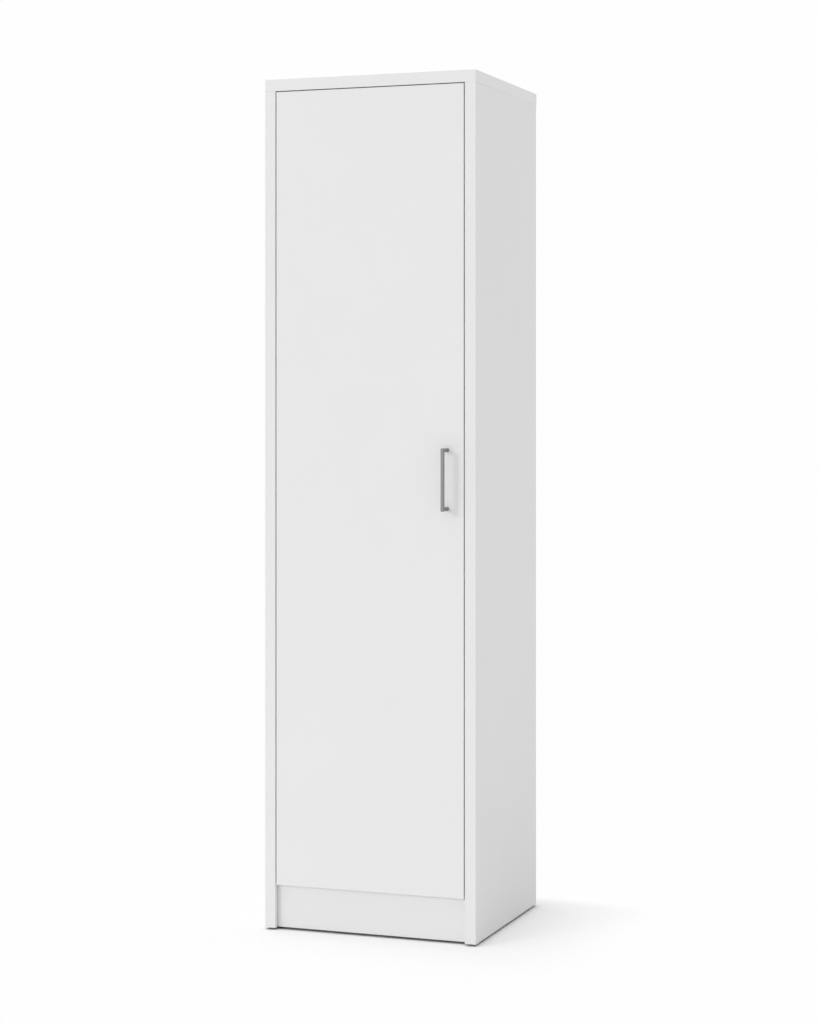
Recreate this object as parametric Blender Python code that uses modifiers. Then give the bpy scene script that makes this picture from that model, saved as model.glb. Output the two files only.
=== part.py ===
"""Tall single-door wardrobe in white faced board.

The carcass is two side panels on floor glides, a top that lies on them, a base, a recessed plinth
and a nailed back, held together by cam locks. Inside are a hat shelf and a hanging rail. An inset
door closes flush with the front edges. It swings on three concealed cup hinges, each with an outer
and an inner link between an arm on the side panel and a cup in the door.

Metres, +Z up. The origin is on the floor, under the middle of the overall box. +X is to the right
of someone who faces the door, and the door faces -Y. It is hinged at its left edge and drawn shut.
"""

import math

import bmesh
import bpy
from mathutils import Matrix, Vector

# Overall size
OVERALL_WIDTH = 0.497
OVERALL_HEIGHT = 1.900
CARCASS_DEPTH = 0.446

# Boards
BOARD = 0.025
TOP_THICKNESS = 0.026
DOOR_THICKNESS = 0.018
SHELF_THICKNESS = 0.018
PLINTH_THICKNESS = 0.018
BACK_THICKNESS = 0.003
EASED_EDGE = 0.0004

# Fits between pieces
SEAT_GAP = 0.0003
DOOR_GAP = 0.0025
DOOR_STOP_GAP = 0.003
SILL_GAP = 0.0025
SHELF_END_GAP = 0.0008
BACK_INSET = 0.002
CUT_THROUGH = 0.002

# Heights and setbacks of the boards
DOOR_BOTTOM = 0.1013
PLINTH_SETBACK = 0.013
PLINTH_LIFT = 0.001
SHELF_ROOM = 0.289
SHELF_SETBACK = 0.050

# Floor glides
GLIDE_HEIGHT = 0.004
GLIDE_RADIUS = 0.010
GLIDE_ROUNDING = 0.001
GLIDE_INSET = 0.030
NAIL_RADIUS = 0.0012
NAIL_LENGTH = 0.012

# Cam locks
CAM_RADIUS = 0.0075
CAM_FLOOR = 0.0015
CAM_SETBACK = 0.034
CAM_INSET = 0.080
CAM_SLOT_LENGTH = 0.009
CAM_SLOT_WIDTH = 0.0016
CAM_SLOT_DEPTH = 0.002
BOLT_BORE_RADIUS = 0.004
BOLT_THREAD_RADIUS = 0.003
BOLT_THREAD_LENGTH = 0.011
BOLT_SHANK_RADIUS = 0.0027
BOLT_NECK_RADIUS = 0.0018
BOLT_NECK_LENGTH = 0.005
BOLT_HEAD_LENGTH = 0.003

# Corner blocks behind the plinth
BLOCK_SIZE = 0.022
BLOCK_CHAMFER = 0.009
BLOCK_PLACE = 0.120

# Shelf pins
SHELF_PIN_RADIUS = 0.0025
SHELF_PIN_DEPTH = 0.009
SHELF_PIN_COLLAR_RADIUS = 0.004
SHELF_PIN_REACH = 0.010
SHELF_PIN_INSET = 0.045

# Hanging rail, an oval tube in open-topped sockets
RAIL_HEIGHT = 0.030
RAIL_WIDTH = 0.015
RAIL_WALL = 0.0012
RAIL_DROP = 0.055
SOCKET_WALL = 0.0025
SOCKET_DEPTH = 0.012
SOCKET_FLANGE = 0.0025
SOCKET_EAR = 0.013
SOCKET_SCREW_RADIUS = 0.002

# Door buffers on the front edge of the base
BUFFER_RADIUS = 0.005
BUFFER_INSET = 0.070

# Bow handle, a bar on two posts
HANDLE_PROJECTION = 0.034
HANDLE_CENTRES = 0.128
HANDLE_BAR_LENGTH = 0.137
HANDLE_BAR_WIDTH = 0.0078
HANDLE_BAR_DEPTH = 0.0075
HANDLE_BAR_ROUNDING = 0.002
HANDLE_POST_RADIUS = 0.0042
HANDLE_FOOT_RADIUS = 0.0046
HANDLE_FOOT_LENGTH = 0.006
HANDLE_FOOT_TAPER = 0.004
HANDLE_EDGE_INSET = 0.038
HANDLE_HEIGHT = 1.011
HANDLE_SCREW_RADIUS = 0.002
HANDLE_SCREW_BITE = 0.009
HANDLE_SCREW_HEAD_RADIUS = 0.0042
HANDLE_SCREW_HEAD_HEIGHT = 0.0024

# Cup hinges. Plan places are (from the door's hinge edge, behind the door's back face).
HINGE_INSET = 0.110
CUP_RADIUS = 0.0175
CUP_DEPTH = 0.013
CUP_WALL = 0.0006
CUP_FLOOR = 0.0008
CUP_EDGE = 0.004
CUP_FLANGE = 0.001
CUP_FLANGE_LIP = 0.0018
CUP_EAR_LENGTH = 0.062
CUP_EAR_WIDTH = 0.015
CUP_EAR_OFFSET = 0.006
CUP_SCREW_SPACING = 0.048
CUP_SCREW_RADIUS = 0.002
OUTER_ARM_PIN = Vector((0.0295, 0.0170))
INNER_ARM_PIN = Vector((0.0333, -0.0006))
OUTER_CUP_PIN = Vector((0.0093, -0.0050))
INNER_CUP_PIN = Vector((0.0132, -0.0073))
INNER_LINK_EYE = Vector((0.0132, -0.00825))
OUTER_LINK_KNEE = Vector((0.01735, -0.00745))
INNER_LINK_KNEE = Vector((0.0250, -0.0085))
PIN_RADIUS = 0.0010
PIN_RUNNING_GAP = 0.0003
OPEN_PIVOT_GAP = 0.00115
PIN_HEAD_RADIUS = 0.0021
PIN_HEAD_LENGTH = 0.0008
EYE_WALL = 0.0011
LINK_THICKNESS = 0.0016
LINK_WIDTH = 0.0048
LINK_BEND = 0.004
ARM_TIP_THICKNESS = 0.0024
ARM_TIP_RADIUS = 0.003
ARM_WIDTH = 0.013
ARM_SHEET = 0.0017
ARM_LENGTH = 0.043
ARM_START = 0.039
NECK_THICKNESS = 0.0024
NECK_BEND = 0.006
NECK_CLEARANCE = 0.0045
PLATE_THICKNESS = 0.002
PLATE_RIDGE_HEIGHT = 0.006
PLATE_RIDGE_WIDTH = 0.0092
PLATE_BODY_WIDTH = 0.016
PLATE_WING_SPAN = 0.048
PLATE_WING_WIDTH = 0.013
PLATE_SCREW_SPACING = 0.032
PLATE_SCREW_RADIUS = 0.0025
HINGE_HANDS = ("lower", "middle", "upper")

# Facets of round pieces
CUP_STEPS = 32
ROUND_STEPS = 16
SMALL_STEPS = 12
HIDDEN_STEPS = 8
ARC_STEPS = 3

# Places worked out from the sizes above
INNER_X = OVERALL_WIDTH / 2 - BOARD
FRONT_Y = (HANDLE_PROJECTION - CARCASS_DEPTH) / 2
BACK_Y = FRONT_Y + CARCASS_DEPTH
BOARD_BACK_Y = BACK_Y - BACK_THICKNESS - SEAT_GAP
SIDE_BOTTOM = GLIDE_HEIGHT + SEAT_GAP
TOP_UNDER = OVERALL_HEIGHT - TOP_THICKNESS
PLINTH_TOP = DOOR_BOTTOM - SILL_GAP
BASE_UNDER = PLINTH_TOP + SEAT_GAP
BASE_TOP = BASE_UNDER + BOARD
BASE_MIDDLE = BASE_UNDER + BOARD / 2
BASE_FRONT_Y = FRONT_Y + DOOR_THICKNESS + DOOR_STOP_GAP
PLINTH_BACK_Y = FRONT_Y + PLINTH_SETBACK + PLINTH_THICKNESS
SHELF_TOP = TOP_UNDER - SHELF_ROOM
SHELF_UNDER = SHELF_TOP - SHELF_THICKNESS
SHELF_FRONT_Y = FRONT_Y + SHELF_SETBACK
DOOR_LEFT = -INNER_X + DOOR_GAP
DOOR_RIGHT = INNER_X - DOOR_GAP
DOOR_TOP = TOP_UNDER - DOOR_GAP
DOOR_BACK_Y = FRONT_Y + DOOR_THICKNESS
HANDLE_X = DOOR_RIGHT - HANDLE_EDGE_INSET
RAIL_Y = (DOOR_BACK_Y + BOARD_BACK_Y) / 2
RAIL_Z = SHELF_UNDER - RAIL_DROP
CAM_DEPTH = BOARD / 2 + BOLT_BORE_RADIUS + CAM_FLOOR
CUP_CENTRE = CUP_EDGE + CUP_RADIUS
LINK_LIFT = ARM_TIP_THICKNESS / 2 + SEAT_GAP
PLATE_FACE = SEAT_GAP - DOOR_GAP

# Frames that lay a piece's own Z along X or along Y
ALONG_Z = Matrix.Identity(4)
ALONG_X = Matrix(((0, 0, 1, 0), (1, 0, 0, 0), (0, 1, 0, 0), (0, 0, 0, 1)))
ALONG_Y = ALONG_X @ ALONG_X
HALF_TURN = Matrix.Rotation(math.pi, 4, "Z")

WHITE = (0.80, 0.80, 0.80)
NICKEL = (0.42, 0.42, 0.41)
STEEL = (0.60, 0.60, 0.61)
ZINC = (0.50, 0.51, 0.53)
PALE = (0.72, 0.72, 0.71)
CLEAR = (0.70, 0.72, 0.72)


def clear_scene():
    """Removes what the file already holds."""
    for old in list(bpy.data.objects):
        bpy.data.objects.remove(old)


def new_collection(name):
    made = bpy.data.collections.new(name)
    bpy.context.scene.collection.children.link(made)
    return made


def new_finish(name, colour, roughness, metallic=0.0):
    made = bpy.data.materials.new(name)
    made.use_nodes = True
    shader = made.node_tree.nodes["Principled BSDF"]
    shader.inputs["Base Color"].default_value = (*colour, 1.0)
    shader.inputs["Roughness"].default_value = roughness
    shader.inputs["Metallic"].default_value = metallic
    return made


clear_scene()
PARTS = new_collection("wardrobe")
CUTTERS = new_collection("cutters")
BOARD_FINISH = new_finish("white_faced_board", WHITE, 0.45)
BACK_FINISH = new_finish("hardboard", WHITE, 0.7)
HANDLE_FINISH = new_finish("brushed_nickel", NICKEL, 0.35, 1.0)
HINGE_FINISH = new_finish("nickel_plated_steel", STEEL, 0.3, 1.0)
RAIL_FINISH = new_finish("chromed_tube", STEEL, 0.15, 1.0)
CAM_FINISH = new_finish("zinc_casting", ZINC, 0.45, 1.0)
GLIDE_FINISH = new_finish("pale_nylon", PALE, 0.5)
SOCKET_FINISH = new_finish("chromed_socket", STEEL, 0.25, 1.0)
BLOCK_FINISH = new_finish("white_plastic", WHITE, 0.5)
BUFFER_FINISH = new_finish("clear_buffer", CLEAR, 0.3)


def place(obj, frame, finish):
    """Puts an object at a frame, among the parts if it has a finish and the cutters if it hasn't."""
    obj.matrix_world = frame
    if finish is None:
        CUTTERS.objects.link(obj)
        obj.hide_render = True
        obj.display_type = "WIRE"
    else:
        PARTS.objects.link(obj)
        obj.data.materials.append(finish)
    return obj


def mesh_from(shape):
    """A mesh from a bmesh, with its round faces shaded smooth."""
    mesh = bpy.data.meshes.new("shape")
    shape.to_mesh(mesh)
    shape.free()
    mesh.shade_smooth()
    mesh.set_sharp_from_angle(angle=math.radians(35))
    return mesh


def at(x, y, z, turn=ALONG_Z):
    return Matrix.Translation((x, y, z)) @ turn


def box(name, low, high, finish=None, eased=0.0):
    """A box between two corners, with its edges eased by a radius."""
    size = Vector(high) - Vector(low)
    centre = (Vector(high) + Vector(low)) / 2
    shape = bmesh.new()
    bmesh.ops.create_cube(shape, size=1.0)
    bmesh.ops.scale(shape, vec=size, verts=shape.verts)
    obj = place(bpy.data.objects.new(name, mesh_from(shape)), at(*centre), finish)
    if eased:
        bevel = obj.modifiers.new("eased_edges", "BEVEL")
        bevel.width = eased
        bevel.segments = 2
    return obj


def rod(name, radius, low, high, frame, finish=None, steps=ROUND_STEPS):
    """A round bar along the frame's own Z, from low to high."""
    shape = bmesh.new()
    middle = Matrix.Translation((0, 0, (low + high) / 2))
    sizes = {"radius1": radius, "radius2": radius, "depth": high - low}
    bmesh.ops.create_cone(shape, cap_ends=True, segments=steps, matrix=middle, **sizes)
    return place(bpy.data.objects.new(name, mesh_from(shape)), frame, finish)


def turned(name, profile, frame, finish, steps=ROUND_STEPS):
    """A turned piece about the frame's own Z: (radius, height) points from the top down."""
    shape = bmesh.new()
    points = [shape.verts.new((radius, 0, height)) for radius, height in profile]
    for first, second in zip(points, points[1:]):
        shape.edges.new((first, second))
    outline = bpy.data.objects.new(name + "_outline", mesh_from(shape))
    screw = outline.modifiers.new("turn", "SCREW")
    screw.steps = steps
    screw.render_steps = steps
    screw.use_merge_vertices = True
    screw.merge_threshold = 1e-6
    return place(solid_of(name, outline), frame, finish)


def plate(name, loops, low, high, frame, finish=None):
    """A flat plate across the frame's own Z: a rim and the holes in it, as closed outlines."""
    curve = bpy.data.curves.new(name, "CURVE")
    curve.dimensions = "2D"
    curve.fill_mode = "BOTH"
    curve.extrude = (high - low) / 2
    for loop in loops:
        spline = curve.splines.new("POLY")
        spline.points.add(len(loop) - 1)
        spline.use_cyclic_u = True
        for point, (x, y) in zip(spline.points, loop):
            point.co = (x, y, 0, 1)
    outline = bpy.data.objects.new(name + "_outline", curve)
    return place(solid_of(name, outline, (low + high) / 2), frame, finish)


def solid_of(name, outline, lift=0.0):
    """A mesh object of what a curve or a turned outline draws, with its seams welded."""
    bpy.context.scene.collection.objects.link(outline)
    graph = bpy.context.evaluated_depsgraph_get()
    mesh = bpy.data.meshes.new_from_object(outline.evaluated_get(graph))
    bpy.data.objects.remove(outline)
    shape = bmesh.new()
    shape.from_mesh(mesh)
    bmesh.ops.remove_doubles(shape, verts=shape.verts, dist=1e-6)
    bmesh.ops.recalc_face_normals(shape, faces=shape.faces)
    bmesh.ops.translate(shape, vec=(0, 0, lift), verts=shape.verts)
    return bpy.data.objects.new(name, mesh_from(shape))


def boolean(target, other, operation):
    """Cuts, joins or keeps the common part of a target, and makes the other shape follow it."""
    step = target.modifiers.new(operation.lower(), "BOOLEAN")
    step.operation = operation
    step.object = other
    follow(other, target)


def cut(target, cutter):
    boolean(target, cutter, "DIFFERENCE")


def join(target, other):
    boolean(target, other, "UNION")


def follow(child, parent):
    """Parents a piece where it stands."""
    frame = child.matrix_basis.copy()
    child.parent = parent
    child.matrix_parent_inverse = parent.matrix_basis.inverted()
    child.matrix_basis = frame


def pivot(name, pin):
    """An empty on the upright axis of a hinge pin."""
    empty = bpy.data.objects.new(name, None)
    empty.location = (DOOR_LEFT + pin.x, DOOR_BACK_Y + pin.y, 0)
    PARTS.objects.link(empty)
    return empty


def arc(centre, radius, start, end, steps):
    """Points on an arc between two angles, both ends included."""
    angles = [start + (end - start) * step / steps for step in range(steps + 1)]
    return [centre + radius * Vector((math.cos(angle), math.sin(angle))) for angle in angles]


def circle(centre, radius, steps=SMALL_STEPS):
    return arc(Vector(centre), radius, 0, 2 * math.pi, steps)[:-1]


def rectangle(low, high):
    return [Vector(low), Vector((high[0], low[1])), Vector(high), Vector((low[0], high[1]))]


def stadium(width, height, steps=6):
    """An upright oval with straight sides and round ends, about the origin."""
    radius = width / 2
    reach = Vector((0, height / 2 - radius))
    return arc(reach, radius, 0, math.pi, steps) + arc(-reach, radius, math.pi, 2 * math.pi, steps)


def rounded_path(points, radius):
    """A path with each inner corner turned into an arc."""
    path = [points[0]]
    for before, corner, after in zip(points, points[1:], points[2:]):
        incoming = (corner - before).normalized()
        outgoing = (after - corner).normalized()
        turn = incoming.angle_signed(outgoing)
        reach = radius * math.tan(abs(turn) / 2)
        side = math.copysign(1, -turn)
        normal = Vector((-incoming.y, incoming.x)) * side
        centre = corner - incoming * reach + normal * radius
        start = math.atan2(-normal.y, -normal.x)
        path += arc(centre, radius, start, start - turn, ARC_STEPS)
    return path + [points[-1]]


def strap_outline(path, thickness):
    """The outline of a flat strip of a thickness that follows a path."""
    left, right = [], []
    for index, point in enumerate(path):
        before = path[max(index - 1, 0)]
        after = path[min(index + 1, len(path) - 1)]
        first = (point - before).normalized() if index else (after - point).normalized()
        second = (after - point).normalized() if index < len(path) - 1 else first
        mitre = (first + second).normalized()
        normal = Vector((-mitre.y, mitre.x)) * (thickness / 2 / mitre.dot(first))
        left.append(point + normal)
        right.append(point - normal)
    return left + right[::-1]


def build_boards():
    """The side panels, top, base, plinth, back and hat shelf, by name."""
    half = OVERALL_WIDTH / 2
    inside = INNER_X - SEAT_GAP
    back_half = half - BACK_INSET
    shelf_half = INNER_X - SHELF_END_GAP
    side_top = TOP_UNDER - SEAT_GAP
    plinth_front = FRONT_Y + PLINTH_SETBACK
    plinth_bottom = SIDE_BOTTOM + PLINTH_LIFT
    spans = {
        "side_panel_left": ((-half, FRONT_Y, SIDE_BOTTOM), (-INNER_X, BOARD_BACK_Y, side_top)),
        "side_panel_right": ((INNER_X, FRONT_Y, SIDE_BOTTOM), (half, BOARD_BACK_Y, side_top)),
        "top_panel": ((-half, FRONT_Y, TOP_UNDER), (half, BACK_Y, OVERALL_HEIGHT)),
        "base_panel": ((-inside, BASE_FRONT_Y, BASE_UNDER), (inside, BOARD_BACK_Y, BASE_TOP)),
        "plinth": ((-inside, plinth_front, plinth_bottom), (inside, PLINTH_BACK_Y, PLINTH_TOP)),
        "hat_shelf": ((-shelf_half, SHELF_FRONT_Y, SHELF_UNDER), (shelf_half, BOARD_BACK_Y, SHELF_TOP)),
    }
    boards = {name: box(name, low, high, BOARD_FINISH, EASED_EDGE) for name, (low, high) in spans.items()}
    box(
        "back_panel",
        (-back_half, BACK_Y - BACK_THICKNESS, BASE_UNDER),
        (back_half, BACK_Y, TOP_UNDER - SEAT_GAP),
        BACK_FINISH,
    )
    return boards


def build_cam_lock(name, frame, board, mate):
    """A cam in one board that draws a bolt in its mate.

    The frame lies where the boards meet, on the mid-plane of the cam's board, with its Z along the
    bolt into the mate and its X out of the face that the cam is let into.
    """
    face = BOARD / 2
    hub = frame @ at(0, 0, -CAM_SETBACK, ALONG_X)
    neck_top = BOLT_NECK_LENGTH - CAM_SETBACK
    head_end = -CAM_SETBACK - BOLT_HEAD_LENGTH
    cam = rod("cam_" + name, CAM_RADIUS - SEAT_GAP, face - CAM_DEPTH, face - SEAT_GAP, hub, CAM_FINISH)
    cut(cam, rod("cam_bore", BOLT_BORE_RADIUS, head_end - SEAT_GAP, 0, frame, steps=HIDDEN_STEPS))
    slot_low = face - CAM_SLOT_DEPTH
    slot_high = face + CUT_THROUGH
    half_length = CAM_SLOT_LENGTH / 2
    half_width = CAM_SLOT_WIDTH / 2
    for across, along in ((half_width, half_length), (half_length, half_width)):
        slot = rectangle((-across, -along), (across, along))
        cut(cam, plate("cam_slot", [slot], slot_low, slot_high, hub))
    turned(
        "cam_bolt_" + name,
        [
            (0, BOLT_THREAD_LENGTH),
            (BOLT_THREAD_RADIUS, BOLT_THREAD_LENGTH),
            (BOLT_THREAD_RADIUS, 0),
            (BOLT_SHANK_RADIUS, 0),
            (BOLT_SHANK_RADIUS, neck_top),
            (BOLT_NECK_RADIUS, neck_top),
            (BOLT_NECK_RADIUS, -CAM_SETBACK),
            (BOLT_THREAD_RADIUS, -CAM_SETBACK),
            (BOLT_THREAD_RADIUS, head_end),
            (0, head_end),
        ],
        frame,
        CAM_FINISH,
        HIDDEN_STEPS,
    )
    cut(board, rod("cam_pocket", CAM_RADIUS, face - CAM_DEPTH - SEAT_GAP, face + CUT_THROUGH, hub))
    cut(board, rod("bolt_bore", BOLT_BORE_RADIUS, -CAM_SETBACK, CUT_THROUGH, frame, steps=HIDDEN_STEPS))
    mate_hole = BOLT_THREAD_RADIUS + SEAT_GAP
    mate_end = BOLT_THREAD_LENGTH + SEAT_GAP
    cut(mate, rod("bolt_hole", mate_hole, -CUT_THROUGH, mate_end, frame, steps=HIDDEN_STEPS))


def build_cam_locks(boards):
    """Two locks at each end of the top and of the base."""
    rows = {"front": FRONT_Y + CAM_INSET, "back": BOARD_BACK_Y - CAM_INSET}
    side_middle = INNER_X + BOARD / 2
    from_below = Matrix.Rotation(math.pi / 2, 4, "Y")
    turns = (("left", -1, ALONG_Z, HALF_TURN), ("right", 1, HALF_TURN, ALONG_Z))
    for side, sign, inward, outward in turns:
        panel = boards["side_panel_" + side]
        for row, y in rows.items():
            top = at(sign * side_middle, y, TOP_UNDER, inward)
            build_cam_lock(f"top_{side}_{row}", top, panel, boards["top_panel"])
            base = at(sign * INNER_X, y, BASE_MIDDLE, outward @ from_below)
            build_cam_lock(f"base_{side}_{row}", base, boards["base_panel"], panel)


def build_plinth_blocks():
    """A chamfered block in each corner between the plinth and the base."""
    outline = [
        Vector((0, 0)),
        Vector((0, -BLOCK_SIZE)),
        Vector((BLOCK_SIZE - BLOCK_CHAMFER, -BLOCK_SIZE)),
        Vector((BLOCK_SIZE, BLOCK_CHAMFER - BLOCK_SIZE)),
        Vector((BLOCK_SIZE, 0)),
    ]
    y = PLINTH_BACK_Y + SEAT_GAP
    for side, sign in (("left", -1), ("right", 1)):
        frame = at(sign * BLOCK_PLACE, y, PLINTH_TOP, ALONG_X)
        plate("plinth_block_" + side, [outline], -BLOCK_SIZE / 2, BLOCK_SIZE / 2, frame, BLOCK_FINISH)


def build_glides(boards):
    """A nailed glide under each end of each side panel."""
    top = GLIDE_HEIGHT + NAIL_LENGTH
    profile = [
        (0, top),
        (NAIL_RADIUS, top - 2 * NAIL_RADIUS),
        (NAIL_RADIUS, GLIDE_HEIGHT),
        (GLIDE_RADIUS, GLIDE_HEIGHT),
        (GLIDE_RADIUS, GLIDE_ROUNDING),
        (GLIDE_RADIUS - GLIDE_ROUNDING, 0),
        (0, 0),
    ]
    rows = {"front": FRONT_Y + GLIDE_INSET, "back": BOARD_BACK_Y - GLIDE_INSET}
    for side, sign in (("left", -1), ("right", 1)):
        for row, y in rows.items():
            frame = at(sign * (INNER_X + BOARD / 2), y, 0)
            turned(f"glide_{side}_{row}", profile, frame, GLIDE_FINISH)
            hole = rod("nail_hole", NAIL_RADIUS + SEAT_GAP, 0, top + SEAT_GAP, frame, steps=HIDDEN_STEPS)
            cut(boards["side_panel_" + side], hole)


def build_shelf_pins(boards):
    """Four collared pins in the sides that carry the hat shelf."""
    z = SHELF_UNDER - SEAT_GAP - SHELF_PIN_COLLAR_RADIUS
    profile = [
        (0, SHELF_PIN_REACH),
        (SHELF_PIN_COLLAR_RADIUS, SHELF_PIN_REACH),
        (SHELF_PIN_COLLAR_RADIUS, SEAT_GAP),
        (SHELF_PIN_RADIUS, SEAT_GAP),
        (SHELF_PIN_RADIUS, -SHELF_PIN_DEPTH),
        (0, -SHELF_PIN_DEPTH),
    ]
    rows = {"front": SHELF_FRONT_Y + SHELF_PIN_INSET, "back": BOARD_BACK_Y - SHELF_PIN_INSET}
    for side, sign in (("left", -1), ("right", 1)):
        facing = ALONG_X if sign < 0 else HALF_TURN @ ALONG_X
        for row, y in rows.items():
            frame = at(sign * INNER_X, y, z, facing)
            turned(f"shelf_pin_{side}_{row}", profile, frame, HINGE_FINISH, SMALL_STEPS)
            bore = SHELF_PIN_RADIUS + SEAT_GAP
            depth = SHELF_PIN_DEPTH + SEAT_GAP
            hole = rod("pin_hole", bore, -depth, CUT_THROUGH, frame, steps=SMALL_STEPS)
            cut(boards["side_panel_" + side], hole)


def build_rail():
    """The oval rail and the open-topped socket at each of its ends."""
    end = INNER_X - SOCKET_FLANGE - 2 * SEAT_GAP
    middle = at(0, RAIL_Y, RAIL_Z, ALONG_X)
    hollow = stadium(RAIL_WIDTH - 2 * RAIL_WALL, RAIL_HEIGHT - 2 * RAIL_WALL)
    plate("hanging_rail", [stadium(RAIL_WIDTH, RAIL_HEIGHT), hollow], -end, end, middle, RAIL_FINISH)
    bed_width = RAIL_WIDTH + 2 * SEAT_GAP
    bed_height = RAIL_HEIGHT + 2 * SEAT_GAP
    body_width = bed_width + 2 * SOCKET_WALL
    body_height = bed_height + 2 * SOCKET_WALL
    flange_height = body_height + 2 * SOCKET_EAR
    screw_height = (body_height + SOCKET_EAR) / 2
    holes = [circle((0, side * screw_height), SOCKET_SCREW_RADIUS) for side in (-1, 1)]
    half = bed_width / 2
    mouth = rectangle((-half, 0), (half, body_height))
    rim = SOCKET_FLANGE + SOCKET_DEPTH
    for side, facing in (("left", ALONG_X), ("right", HALF_TURN @ ALONG_X)):
        sign = -1 if side == "left" else 1
        frame = at(sign * (INNER_X - SEAT_GAP), RAIL_Y, RAIL_Z, facing)
        socket = plate(
            "rail_socket_" + side,
            [stadium(body_width, flange_height), *holes],
            0,
            SOCKET_FLANGE,
            frame,
            SOCKET_FINISH,
        )
        body = stadium(body_width, body_height)
        join(socket, plate("socket_body", [body], SOCKET_FLANGE / 2, rim, frame))
        past = rim + CUT_THROUGH
        cut(socket, plate("socket_bed", [stadium(bed_width, bed_height)], SOCKET_FLANGE, past, frame))
        cut(socket, plate("socket_mouth", [mouth], SOCKET_FLANGE, past, frame))


def build_buffers():
    """Soft pads on the base's front edge, which the shut door meets."""
    for side, sign in (("left", -1), ("right", 1)):
        frame = at(sign * (INNER_X - BUFFER_INSET), BASE_FRONT_Y - SEAT_GAP, BASE_MIDDLE, ALONG_Y)
        thickness = DOOR_STOP_GAP - 2 * SEAT_GAP
        rod("door_buffer_" + side, BUFFER_RADIUS, -thickness, 0, frame, BUFFER_FINISH, SMALL_STEPS)


def build_handle(door, axis):
    """The bow handle, a square-ended bar on two flared posts, and the two screws that hold it."""
    half_width = HANDLE_BAR_WIDTH / 2
    half_length = HANDLE_BAR_LENGTH / 2
    bar_front = FRONT_Y - HANDLE_PROJECTION
    handle = box(
        "handle",
        (HANDLE_X - half_width, bar_front, HANDLE_HEIGHT - half_length),
        (HANDLE_X + half_width, bar_front + HANDLE_BAR_DEPTH, HANDLE_HEIGHT + half_length),
        HANDLE_FINISH,
        HANDLE_BAR_ROUNDING,
    )
    follow(handle, axis)
    bar_middle = HANDLE_BAR_DEPTH / 2 - HANDLE_PROJECTION
    shoulder = -SEAT_GAP - HANDLE_FOOT_LENGTH
    head = DOOR_THICKNESS + SEAT_GAP
    end = -SEAT_GAP - HANDLE_SCREW_BITE
    for row, side in (("upper", 1), ("lower", -1)):
        frame = at(HANDLE_X, FRONT_Y, HANDLE_HEIGHT + side * HANDLE_CENTRES / 2, ALONG_Y)
        post = turned(
            "handle_post",
            [
                (0, -SEAT_GAP),
                (HANDLE_FOOT_RADIUS, -SEAT_GAP),
                (HANDLE_FOOT_RADIUS, shoulder),
                (HANDLE_POST_RADIUS, shoulder - HANDLE_FOOT_TAPER),
                (HANDLE_POST_RADIUS, bar_middle),
                (0, bar_middle),
            ],
            frame,
            None,
        )
        join(handle, post)
        screw = turned(
            "handle_screw_" + row,
            [
                (0, head + HANDLE_SCREW_HEAD_HEIGHT),
                (HANDLE_SCREW_HEAD_RADIUS / 2, head + HANDLE_SCREW_HEAD_HEIGHT),
                (HANDLE_SCREW_HEAD_RADIUS, head + HANDLE_SCREW_HEAD_HEIGHT / 2),
                (HANDLE_SCREW_HEAD_RADIUS, head),
                (HANDLE_SCREW_RADIUS, head),
                (HANDLE_SCREW_RADIUS, end),
                (0, end),
            ],
            frame,
            HINGE_FINISH,
            SMALL_STEPS,
        )
        follow(screw, axis)
        bore = HANDLE_SCREW_RADIUS + SEAT_GAP
        cut(handle, rod("post_hole", bore, end - SEAT_GAP, CUT_THROUGH, frame, steps=SMALL_STEPS))
        past = DOOR_THICKNESS + CUT_THROUGH
        cut(door, rod("door_hole", bore, -CUT_THROUGH, past, frame, steps=SMALL_STEPS))


def hinge_heights():
    """The height of each hinge, by name."""
    low = DOOR_BOTTOM + HINGE_INSET
    high = DOOR_TOP - HINGE_INSET
    return dict(zip(HINGE_HANDS, (low, (low + high) / 2, high)))


def build_link(name, frame, path, low, high, bores, axis):
    """A bent strap with an eye at each end, between two heights."""
    outline = strap_outline(rounded_path(path, LINK_BEND), LINK_THICKNESS)
    link = plate(name, [outline], low, high, frame, HINGE_FINISH)
    eyes = [frame @ at(end.x, end.y, 0) for end in (path[0], path[-1])]
    for eye, bore in zip(eyes, bores):
        join(link, rod("link_eye", bore + EYE_WALL, low, high, eye))
    for eye, bore in zip(eyes, bores):
        cut(link, rod("link_bore", bore, low - CUT_THROUGH, high + CUT_THROUGH, eye, steps=SMALL_STEPS))
    follow(link, axis)


def build_hinge_plate(name, frame):
    """The winged plate on the side panel, with the ridge that the arm clips over."""
    front = ARM_START
    back = ARM_START + ARM_LENGTH
    wing = front + PLATE_WING_WIDTH
    half_body = PLATE_BODY_WIDTH / 2
    half_span = PLATE_WING_SPAN / 2
    outline = [
        Vector((front, -half_span)),
        Vector((wing, -half_span)),
        Vector((wing, -half_body)),
        Vector((back, -half_body)),
        Vector((back, half_body)),
        Vector((wing, half_body)),
        Vector((wing, half_span)),
        Vector((front, half_span)),
    ]
    middle = (front + wing) / 2
    holes = [circle((middle, side * PLATE_SCREW_SPACING / 2), PLATE_SCREW_RADIUS) for side in (-1, 1)]
    lying = frame @ at(PLATE_FACE, 0, 0, ALONG_X)
    made = plate("hinge_plate_" + name, [outline, *holes], 0, PLATE_THICKNESS, lying, HINGE_FINISH)
    half_ridge = PLATE_RIDGE_WIDTH / 2
    ridge = rectangle((front + ARM_SHEET, -half_ridge), (back - ARM_SHEET, half_ridge))
    ridge_top = PLATE_THICKNESS + PLATE_RIDGE_HEIGHT
    join(made, plate("plate_ridge", [ridge], PLATE_THICKNESS / 2, ridge_top, lying))


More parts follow.
